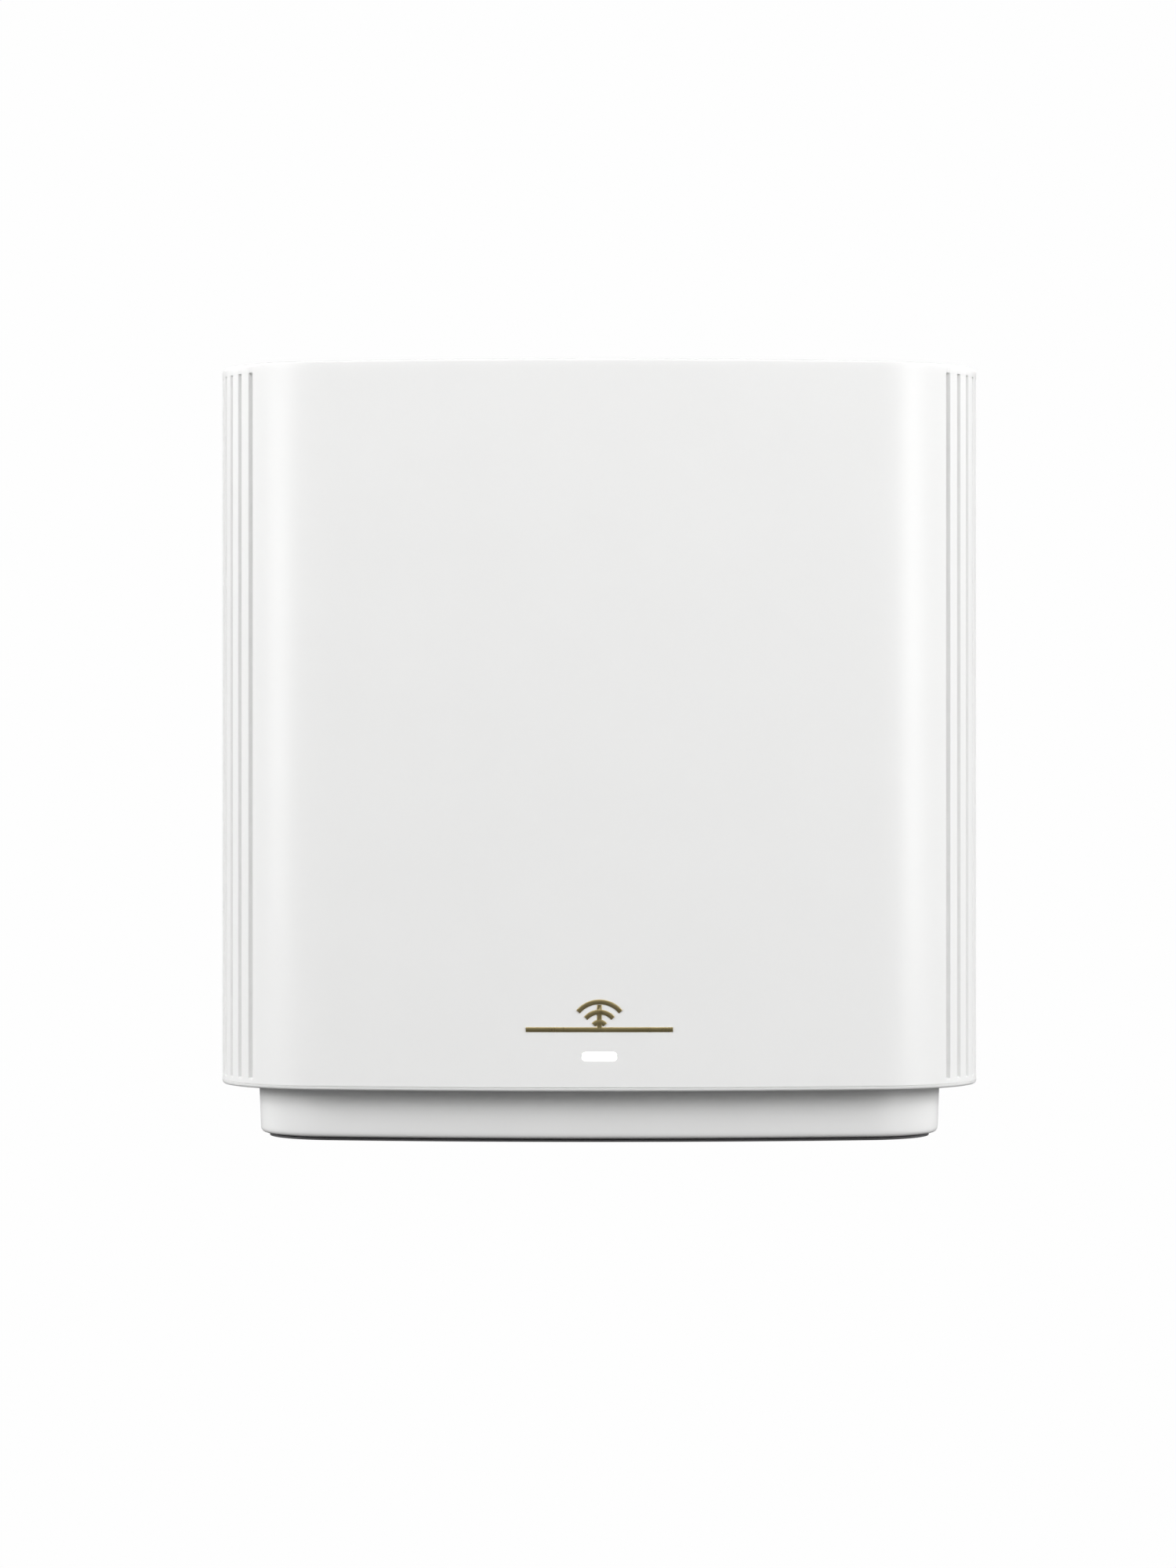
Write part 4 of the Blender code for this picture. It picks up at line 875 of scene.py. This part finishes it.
def build_plate():
    low, high = plate_low.z, plate_low.z + PLATE_THICKNESS
    inset = FOOT_INSET
    side = fillet((inset, low), (inset + 0.0003, low), (inset, low + 0.0003), 3) + [(inset, high)]
    plate = piece("base_underside", lambda bm: skin_over(bm, [ring(PLAIN, *p) for p in side]))
    radius, sink = HEAD_RADIUS + 2 * GAP, low + HEAD_HEIGHT + GAP
    post = [(low + GAP, radius), (plate_high.z, radius)]
    posts = [round_bar("post", (x, SCREW_Y, 0), post) for x in SCREW_X]
    boolean(plate, "UNION", *posts)
    wells = []
    for x in SCREW_X:
        wide, narrow = HEAD_RADIUS + GAP, SHANK_RADIUS + GAP
        profile = [(0, wide), (sink, wide), (sink, narrow), (0.02, narrow)]
        wells.append(round_bar("well", (x, SCREW_Y, 0), profile))
    boolean(plate, "DIFFERENCE", *wells)
    return with_tree(plate, vent_tree, Count=VENT_COUNT, Pitch=VENT_PITCH, Length=0.0105, Width=VENT_WIDTH,
                     Row=0.01475, Depth=0.0080, Level=low, Finish=look["base"])


place(shaded(build_plate()), "base", "base_plate")

# %% [markdown]
# ## The back panel
#
# The panel is a shallow collar whose outer rim follows the sleeve's curve. Its floor has a mouth for each
# socket and a round hole for each button. All its edges are rounded by a bevel at the end.

# %% The back panel
PANEL_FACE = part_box("dc_jack")[1].y  # the floor of the recess, where the sockets end
PANEL_WALL, COLLAR_WALL = 0.0020, 0.0016
MOUTHS = (("dc_jack", 0.0006), ("usb_shell", 0.0008), ("wan_jack", 0.0004), ("lan_jack_2", 0.0004))
HOLES = (("power_button", 0.0043), ("wps_button", 0.0029), ("reset_switch", 0.0009))


def centre_xz(node):
    low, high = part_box(node)
    return (low.x + high.x) / 2, (low.z + high.z) / 2


def build_panel():
    x, z = panel_mid.x, panel_mid.z
    width, height = panel_size.x, panel_size.z
    back = PANEL_FACE - PANEL_WALL
    panel = rounded_slot("back_panel", x, z, width, height, 0.0020, back, DEPTH)
    curve = piece("curve", lambda bm: skin_over(bm, [ring(PLAIN, GAP, v) for v in (z - height, z + height)]))
    boolean(panel, "INTERSECT", curve)
    wall = 2 * COLLAR_WALL
    recess = rounded_slot("recess", x, z, width - wall, height - wall, 0.0008, PANEL_FACE, DEPTH + 0.01)
    near, far = back - 0.01, PANEL_FACE + 0.002
    mouths = []
    for node, radius in MOUTHS:
        low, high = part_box(node)
        if node == "lan_jack_2":  # one mouth takes all three
            low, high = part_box("lan_jack_3")[0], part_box("lan_jack_1")[1]
        mid, size = middle_and_size(low, high)
        mouths.append(rounded_slot("mouth", mid.x, mid.z, size.x + GAP, size.z + GAP, radius, near, far,
                                   steps=4))
    for node, radius in HOLES:
        hole_x, hole_z = centre_xz(node)
        mouths.append(round_bar("hole", (hole_x, 0, hole_z), [(near, radius), (far, radius)], "Y"))
    boolean(panel, "DIFFERENCE", recess, *mouths)
    return rounded(panel, 0.0002, 2, 50)


place(shaded(build_panel(), 40), "panel", "rear_panel")

# %% [markdown]
# ## Network sockets
#
# Each socket has a main mouth, and a wide notch and a narrow notch below it for the plug's latch. Eight
# spring contacts hang under its roof. One contact is modelled, and a second Geometry Nodes tree repeats
# it along a row. The same tree lays the contacts of the USB tongue.

# %% The row tree
def build_row_tree():
    tree, given, result = new_mesh_tree("row_of_copies", {"Count": 8, "Pitch": 0.001})
    copies = copies_on(tree, line_of_points(tree, given), given.outputs["Geometry"])
    give_mesh(tree, given, result, copies)
    return tree


row_tree = build_row_tree()
print("row tree inputs:", [s.name for s in row_tree.interface.items_tree if s.in_out == "INPUT"])


def box_piece(name, low, high, edge=0.0, segments=2):
    """A box between two corners, with its edges rounded."""
    (x0, y0, z0), (x1, y1, z1) = low, high
    rings = [[(x0, y0, z), (x1, y0, z), (x1, y1, z), (x0, y1, z)] for z in (z0, z1)]
    made = piece(name, lambda bm: skin_over(bm, rings))
    return rounded(made, edge, segments) if edge else made


SOCKET_CUTS = (  # name, its middle above the socket's, width, height, depth, reach in front
    ("mouth", 0.0012, 0.0118, 0.0070, 0.0130, 0.002),
    ("notch", -0.0030, 0.0062, 0.0040, 0.0130, 0.003),
    ("latch", -0.0036, 0.0034, 0.0042, 0.0040, 0.004),
)


def build_socket(name, node):
    low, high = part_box(node)
    mid = (low + high) / 2
    body = box_piece(name, low, high, 0.0003, 2)
    mouth, *notches = (
        rounded_slot(cut, mid.x, mid.z + rise, width, height, 0.0003, high.y - depth, high.y + reach, steps=3)
        for cut, rise, width, height, depth, reach in SOCKET_CUTS
    )
    boolean(mouth, "UNION", *notches)
    return boolean(body, "DIFFERENCE", mouth)


def build_springs(name, node):
    """Eight round wires that come down from the socket's roof, and the bar that holds them."""
    low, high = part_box(node)
    mid_x, radius = (low.x + high.x) / 2, 0.0002
    bar_end, tip = low.y + 0.0012, high.y
    path = [(bar_end - 0.0006, high.z - 0.0004), (bar_end + 0.0010, high.z - 0.0005)]
    drop = high.z - low.z - 0.0008
    path += [(bar_end + 0.001 + (tip - bar_end - 0.001) * i / 6, high.z - 0.0005 - drop * (i / 6) ** 1.3)
             for i in range(1, 7)]

    def build(bm):
        rings = []
        for y, z in path:
            angles = [2 * math.pi * i / 10 for i in range(10)]
            rings.append([(radius * math.cos(a), y, z + radius * math.sin(a)) for a in angles])
        skin_over(bm, rings)

    wires = with_tree(piece(name, build), row_tree, Count=8, Pitch=0.00102, Finish=look["gold"])
    wires.data.transform(Matrix.Translation((mid_x, 0, 0)))
    bar = box_piece("bar", (low.x, low.y, high.z - 0.0008), (high.x, bar_end, high.z), 0.0001)
    return boolean(wires, "UNION", bar)


for name, node, finish in (
    ("socket_wan", "wan_jack", "wan"),
    ("socket_lan_1", "lan_jack_1", "black"),
    ("socket_lan_2", "lan_jack_2", "black"),
    ("socket_lan_3", "lan_jack_3", "black"),
):
    place(shaded(build_socket(name, node)), finish, node)
    contacts = node.replace("jack", "contacts")
    place(shaded(build_springs(f"{name}_springs", contacts)), "gold", contacts)

# %% [markdown]
# ## USB socket
#
# The shell is thin sheet metal with rounded corners. Two sprung tabs press on the plug from its roof and
# two from its floor. The tongue carries four contacts, laid by the row tree.

# %% The USB socket
def build_usb():
    low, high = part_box("usb_shell")
    mid, size = middle_and_size(low, high)
    wall, floor = 0.0004, high.y - 0.0120
    shell = rounded_slot("socket_usb", mid.x, mid.z, size.x, size.z, 0.0007, low.y, high.y, steps=5)
    hollow = rounded_slot("hollow", mid.x, mid.z, size.x - 2 * wall, size.z - 2 * wall, 0.0004, floor,
                          high.y + 0.002, steps=5)
    boolean(shell, "DIFFERENCE", hollow)
    tabs = []
    for side in (-1, 1):
        for x in (mid.x - 0.0030, mid.x + 0.0030):
            z = mid.z + side * (size.z / 2 - wall)
            z0, z1 = sorted((z + side * 0.0001, z - side * 0.00022))
            back, front = high.y - 0.0062, high.y - 0.0016
            tabs.append(box_piece("tab", (x - 0.0011, back, z0), (x + 0.0011, front, z1), 0.0001))
    return rounded(boolean(shell, "UNION", *tabs), 0.00008, 2, 60)


def build_usb_contacts():
    low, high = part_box("usb_tongue")
    mid_x = (low.x + high.x) / 2
    strip = box_piece("usb_contacts", (-0.0006, low.y + 0.001, low.z - 0.00012),
                      (0.0006, high.y - 0.0006, low.z + 0.0001), 0.00008)
    strips = with_tree(strip, row_tree, Count=4, Pitch=0.0023, Finish=look["gold"])
    strips.data.transform(Matrix.Translation((mid_x, 0, 0)))
    return strips


def cornered(name, node, edge, segments=2):
    return box_piece(name, *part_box(node), edge, segments)


place(shaded(build_usb()), "tin", "usb_shell")
place(shaded(cornered("usb_tongue_body", "usb_tongue", 0.0003)), "wan", "usb_tongue")
place(shaded(build_usb_contacts()), "gold")

# %% [markdown]
# ## Power inlet
#
# The inlet is a block with a round bore, a lead-in at its mouth and a pin in its middle. The pin's tip is
# rounded, so that a plug finds it. Both are turned solids, one of them used as the cutter.

# %% The power inlet
def build_inlet():
    low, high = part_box("dc_jack")
    mid = (low + high) / 2
    body = box_piece("socket_power", low, high, 0.0004, 3)
    radius, mouth = 0.00315, 0.00375
    bore = [(high.y - 0.0098, radius), (high.y - 0.0004, radius), (high.y + 0.0002, mouth),
            (high.y + 0.002, mouth)]
    return boolean(body, "DIFFERENCE", round_bar("bore", (mid.x, 0, mid.z), bore, "Y", 64))


def build_inlet_pin():
    low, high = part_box("dc_jack_pin")
    radius = (high.x - low.x) / 2
    tip = [(high.y - radius + radius * math.sin(a), radius * math.cos(a)) for a in (0.0, 0.4, 0.8, 1.2, 1.45)]
    x, z = centre_xz("dc_jack_pin")
    return round_bar("socket_power_pin", (x, 0, z), [(low.y, radius)] + tip, "Y", 32)


place(shaded(build_inlet()), "black", "dc_jack")
place(shaded(build_inlet_pin()), "gold", "dc_jack_pin")

# %% [markdown]
# ## Buttons
#
# The power button and the pairing button are round caps with a soft rim and a dished face. Each rides on
# its own body of the model, so that it moves when that joint is pressed. The power cap carries a small
# engraved ring and bar.

# %% The buttons
def cap_profile(back, front, radius, dish):
    rim = fillet((radius, front), (radius, front - 0.0005), (radius - 0.0005, front), 5)
    face = [(radius - 0.0005 - (radius - 0.0005) * i / 8, front - dish * (1 - math.cos(math.pi * i / 8)) / 2)
            for i in range(1, 8)]
    return [(back, radius)] + [(along, r) for r, along in rim + face]


def build_power_cap():
    low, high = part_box("power_button")
    x, z = centre_xz("power_button")
    radius, front = (high.x - low.x) / 2, high.y
    cap = round_bar("power_cap", (x, 0, z), cap_profile(low.y, front, radius, 0.00035), "Y", 64)
    side = 0.0015
    socket = box_piece("socket", (x - side, low.y - 0.001, z - side), (x + side, low.y + 0.0030, z + side))
    groove = round_bar("outer", (x, 0, z), [(front - 0.0006, 0.0016), (front + 0.001, 0.0016)], "Y", 48)
    core = round_bar("inner", (x, 0, z), [(front - 0.0007, 0.0013), (front + 0.002, 0.0013)], "Y", 48)
    gate = box_piece("gate", (x - 0.0005, front - 0.0008, z), (x + 0.0005, front + 0.003, z + 0.003))
    boolean(groove, "DIFFERENCE", core, gate)
    bar = box_piece("bar", (x - 0.00015, front - 0.0006, z + 0.0004),
                    (x + 0.00015, front + 0.001, z + 0.0019))
    return boolean(cap, "DIFFERENCE", socket, groove, bar)


def build_pairing_cap():
    low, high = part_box("wps_button")
    x, z = centre_xz("wps_button")
    stem, step = 0.0015, high.y - 0.0090
    profile = [(low.y, stem), (step, stem)] + cap_profile(step, high.y, (high.x - low.x) / 2, 0.0002)
    return round_bar("pairing_cap", (x, 0, z), profile, "Y", 56)


place(shaded(build_power_cap(), 40), "button", "power_button", body="power_button")
place(shaded(build_pairing_cap(), 40), "button", "wps_button", body="wps_button")

# %% [markdown]
# ## Screws
#
# All the screws are one design: a domed head with a cross recess, and a shank that narrows to a blunt
# tip. A third tree builds that screw from its sizes, turns it to face the right way, and puts one on each
# point of a mesh. Each group of screws is then a single piece.

# %% The screw tree
THREAD_RADIUS = 0.0014


def build_screw_tree():
    sizes = {"Head Radius": HEAD_RADIUS, "Head Height": HEAD_HEIGHT, "Shank Radius": THREAD_RADIUS,
             "Length": 0.006}
    tree, given, result = new_mesh_tree("cross_head_screws", {**sizes, "Turn": 0.0})
    head_radius, head, shank, length = (given.outputs[label] for label in sizes)

    def times(value, factor):
        return maths(tree, "MULTIPLY", value, factor)

    def moved(mesh, up):
        along = combined(tree, Z=up)
        return new_node(tree, "GeometryNodeTransform", Geometry=mesh, Translation=along).outputs[0]

    def cylinder(radius, depth, middle, sides=32, tip=None):
        cone = new_node(tree, "GeometryNodeMeshCone", Vertices=sides, Radius_Top=tip or radius,
                        Radius_Bottom=radius, Depth=depth)
        return moved(cone.outputs["Mesh"], middle)

    rim, dome = times(head, 0.55), times(head, 0.45)
    # The head's underside is at zero, the top of the head at minus its height, the shank above zero.
    low = cylinder(head_radius, rim, times(rim, -0.5))
    dome_middle = maths(tree, "SUBTRACT", times(rim, -1.0), times(dome, 0.5))
    top = cylinder(times(head_radius, 0.72), dome, dome_middle, 32, head_radius)
    rod = cylinder(shank, length, times(length, 0.499), 24, times(shank, 0.8))
    body = mesh_boolean(tree, "UNION", (low, top, rod))
    arms = []
    for wide, thin in (("X", "Y"), ("Y", "X")):
        size = combined(tree, Z=head, **{wide: times(head_radius, 1.05), thin: times(head_radius, 0.26)})
        cube = new_node(tree, "GeometryNodeMeshCube", Size=size)
        arms.append(moved(cube.outputs["Mesh"], times(head, -0.95)))
    cross = mesh_boolean(tree, "DIFFERENCE", arms, body)
    turn = combined(tree, X=given.outputs["Turn"])
    give_mesh(tree, given, result, copies_on(tree, given.outputs["Geometry"], cross, Rotation=turn))
    return tree


screw_tree = build_screw_tree()


def screws(name, nodes_replaced, axis, turn):
    """One piece of screws, whose heads' undersides and lengths come from the boxes of the model's screws."""
    points = []
    for node in nodes_replaced:
        low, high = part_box(node)
        at = (low + high) / 2
        at[axis] = low[axis] + HEAD_HEIGHT if axis == 2 else high[axis] - HEAD_HEIGHT
        points.append(at)
    low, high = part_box(nodes_replaced[0])
    length = high[axis] - low[axis] - HEAD_HEIGHT
    made = piece(name, lambda bm: [bm.verts.new(p) for p in points])
    with_tree(made, screw_tree, **{"Head Radius": HEAD_RADIUS, "Head Height": HEAD_HEIGHT,
                                   "Shank Radius": THREAD_RADIUS, "Length": length, "Turn": turn,
                                   "Finish": look["steel"]})
    place(shaded(made), "steel", *nodes_replaced)


screws("base_screws", [f"base_screw_{n}" for n in (1, 2, 3, 4)], 2, 0.0)
screws("board_screws", [f"board_screw_{n}" for n in (1, 2, 3, 4)], 1, math.pi / 2)
screws("heatsink_screws", ["heatsink_screw_1", "heatsink_screw_2"], 1, math.pi / 2)

# %% [markdown]
# ## Inner parts
#
# What is inside shows only through the slots, so it keeps the shapes of the mechanical model. Each of
# these parts is copied, its flat faces are made whole again, and its sharp edges get a small bevel that
# catches light. The copies stand for the model's own parts. Round wires need no bevel, so they keep their
# meshes and only get smooth shading and a finish.

# %% Refined copies of the model's parts
def refined(node, name, edge, segments=2):
    bm = bmesh.new()
    bm.from_mesh(nodes[node].data)
    bmesh.ops.remove_doubles(bm, verts=bm.verts, dist=1e-7)
    bmesh.ops.dissolve_limit(bm, angle_limit=math.radians(1.0), verts=bm.verts, edges=bm.edges)
    return rounded(object_of(name, bm), edge, segments, 50)


REFINED = (  # node, piece, finish, bevel, body
    ("inner_frame", "board_frame", "frame", 0.0003, "housing"),
    ("main_board", "circuit_board", "board", 0.0001, "housing"),
    ("processor_shield", "shield_processor", "tin", 0.0003, "housing"),
    ("radio_shield_left", "shield_radio_left", "tin", 0.0003, "housing"),
    ("radio_shield_right", "shield_radio_right", "tin", 0.0003, "housing"),
    ("processor_pad", "pad_processor", "pad", 0.0002, "housing"),
    ("radio_pad_left", "pad_left", "pad", 0.0002, "housing"),
    ("radio_pad_right", "pad_right", "pad", 0.0002, "housing"),
    ("heatsink_front", "sink_front", "sink", 0.0002, "housing"),
    ("heatsink_rear", "sink_rear", "sink", 0.0002, "housing"),
    ("light_board", "board_of_light", "board", 0.0001, "housing"),
    ("status_led", "light_chip", "light", 0.0001, "housing"),
    ("aerial_side_left", "aerial_left", "board", 0.0001, "housing"),
    ("aerial_side_right", "aerial_right", "board", 0.0001, "housing"),
    ("aerial_top_left", "aerial_upper_left", "board", 0.0001, "housing"),
    ("aerial_top_right", "aerial_upper_right", "board", 0.0001, "housing"),
    ("power_switch", "switch_power", "black", 0.0002, "housing"),
    ("wps_switch", "switch_pairing", "black", 0.0002, "housing"),
    ("reset_switch", "switch_reset", "black", 0.0002, "housing"),
    ("power_plunger", "plunger_power", "tin", 0.0002, "power_button"),
    ("wps_plunger", "plunger_pairing", "button", 0.0001, "wps_button"),
    ("reset_plunger", "plunger_reset", "button", 0.0001, "reset_button"),
)
for node, name, finish, edge, body in REFINED:
    place(shaded(refined(node, name, edge), 40), finish, node, body=body)

aerials = "side_left", "side_right", "top_left", "top_right"
for node in ["light_lead"] + [f"aerial_lead_{aerial}" for aerial in aerials]:
    wire = nodes[node]
    wire.data.materials.clear()
    wire.data.materials.append(look["cable"])
    wire.data.shade_smooth()
    print(node, "keeps its mesh:", len(wire.data.polygons), "faces")

# %% [markdown]
# ## The stage
#
# A product on white stands before a pure white background, while it keeps its own soft greys and throws
# no shadow. One white world could do both, but then the white floor would light the router from below and
# wash out the shade under the housing. So the camera sees a white world and a white floor, and every other
# ray sees a dimmer world and a dark floor. A Light Path node makes that choice.

# %% The floor and the world
WHITE, FLOOR_LEVEL = 0.991, 0.03
scene = bpy.context.scene
scene.view_settings.view_transform = "Standard"


def seen_or_lit(tree, seen, lit):
    """A shader that is one thing to the camera and another to the rest of the light."""
    path = tree.nodes.new("ShaderNodeLightPath")
    mix = tree.nodes.new("ShaderNodeMixShader")
    tree.links.new(path.outputs["Is Camera Ray"], mix.inputs["Fac"])
    tree.links.new(lit, mix.inputs[1])
    tree.links.new(seen, mix.inputs[2])
    return mix.outputs[0]


def build_floor():
    floor = piece("floor", lambda bm: bmesh.ops.create_grid(bm, x_segments=1, y_segments=1, size=4.0))
    made = bpy.data.materials.new("floor")
    made.use_nodes = True
    tree = made.node_tree
    shader = tree.nodes["Principled BSDF"]
    shader.inputs["Base Color"].default_value = (FLOOR_LEVEL, FLOOR_LEVEL, FLOOR_LEVEL, 1.0)
    shader.inputs["Roughness"].default_value = 0.9
    bright = tree.nodes.new("ShaderNodeEmission")
    bright.inputs["Color"].default_value = (WHITE, WHITE, WHITE, 1.0)
    surface = seen_or_lit(tree, bright.outputs[0], shader.outputs[0])
    tree.links.new(surface, tree.nodes["Material Output"].inputs["Surface"])
    floor.data.materials.append(made)
    floor.location.z = -0.0005


build_floor()
print("floor level:", FLOOR_LEVEL)

# %% [markdown]
# A ring of soft panels stands round the router and reaches from 10 to 30 degrees above the floor. It is
# much brighter at the two sides than ahead, so it draws the bright bands at the turned corners, and there
# it still reaches the base under the overhang. Panels that surround an object are easiest to paint on the
# world: a direction is lit if it lies between two heights, and lit more if it points to the side. Straight
# to the side the light fades again, so that the fluted ends don't burn out. Smooth steps keep the edges
# soft.

# %% The ring of panels, painted on the world
DIM_LEVEL, AHEAD_LEVEL, SIDE_LEVEL, SIDE_FADE = 0.10, 0.70, 6.15, 0.40
LOWER_EDGE, UPPER_EDGE = (0.12, 0.22), (0.45, 0.55)  # where the ring begins and ends, as sines of the height
SIDE_EDGE, FADE_EDGE = (0.52, 0.68), (0.80, 0.95)  # where it grows and fades, as shares of the way sideways


def smooth_step(tree, value, start, end):
    node = tree.nodes.new("ShaderNodeMapRange")
    node.interpolation_type = "SMOOTHSTEP"
    node.inputs["From Min"].default_value = start
    node.inputs["From Max"].default_value = end
    tree.links.new(value, node.inputs["Value"])
    return node.outputs["Result"]


def build_world():
    world = bpy.data.worlds.new("studio")
    world.use_nodes = True
    tree = world.node_tree
    around = tree.nodes.new("ShaderNodeTexCoord").outputs["Generated"]
    way = new_node(tree, "ShaderNodeSeparateXYZ", Vector=around)
    off_axis = maths(tree, "ABSOLUTE", way.outputs["X"])
    beside = smooth_step(tree, off_axis, *FADE_EDGE)
    aside = maths(tree, "MULTIPLY_ADD", beside, -SIDE_FADE, smooth_step(tree, off_axis, *SIDE_EDGE))
    above, below = (smooth_step(tree, way.outputs["Z"], *edge) for edge in (LOWER_EDGE, UPPER_EDGE))
    ring_level = maths(tree, "MULTIPLY_ADD", aside, SIDE_LEVEL - AHEAD_LEVEL, AHEAD_LEVEL)
    level = maths(tree, "MULTIPLY_ADD", maths(tree, "SUBTRACT", above, below), ring_level, DIM_LEVEL)
    lit = tree.nodes["Background"]
    lit.inputs["Color"].default_value = (1.0, 1.0, 1.0, 1.0)
    tree.links.new(level, lit.inputs["Strength"])
    seen = new_node(tree, "ShaderNodeBackground", Color=(WHITE, WHITE, WHITE, 1.0))
    surface = seen_or_lit(tree, seen.outputs[0], lit.outputs[0])
    tree.links.new(surface, tree.nodes["World Output"].inputs["Surface"])
    return world


scene.world = build_world()
print("world:", scene.world.name)

# %% [markdown]
# The front face takes its light from a wide soft box ahead and a smaller one nearer and higher, which
# makes the face a little brighter at the top. Narrow boxes beside the camera fill the corner turns, and
# one behind serves the views of the sockets.

# %% The soft boxes
AIM = Vector((0.0, 0.0, 0.08))
LIGHTS = (  # name, degrees to the side, degrees up, distance, width, height, watts
    ("front_wide", 0, 30, 1.10, 1.40, 0.40, 1.12),
    ("front_high", 0, 50, 0.55, 0.50, 0.10, 0.64),
    ("left_near", -62, 4, 1.00, 0.30, 0.30, 1.75),
    ("right_near", 54, 4, 1.00, 0.25, 0.30, 1.75),
    ("right_low", 60, -3.5, 1.00, 0.40, 0.04, 0.32),
    ("back_wide", 180, 30, 1.10, 1.40, 0.40, 1.50),
)


def softbox(name, at, width, height, watts):
    data = bpy.data.lights.new(name, "AREA")
    data.shape, data.size, data.size_y, data.energy = "RECTANGLE", width, height, watts
    light = bpy.data.objects.new(name, data)
    light.location = at
    light.rotation_euler = (AIM - at).to_track_quat("-Z", "Y").to_euler()
    bpy.context.scene.collection.objects.link(light)


for name, aside, up, distance, width, height, watts in LIGHTS:
    turn, rise = math.radians(aside), math.radians(up)
    way = Vector((math.sin(turn) * math.cos(rise), -math.cos(turn) * math.cos(rise), math.sin(rise)))
    softbox(name, AIM + way * distance, width, height, watts)
print("soft boxes:", len(LIGHTS))
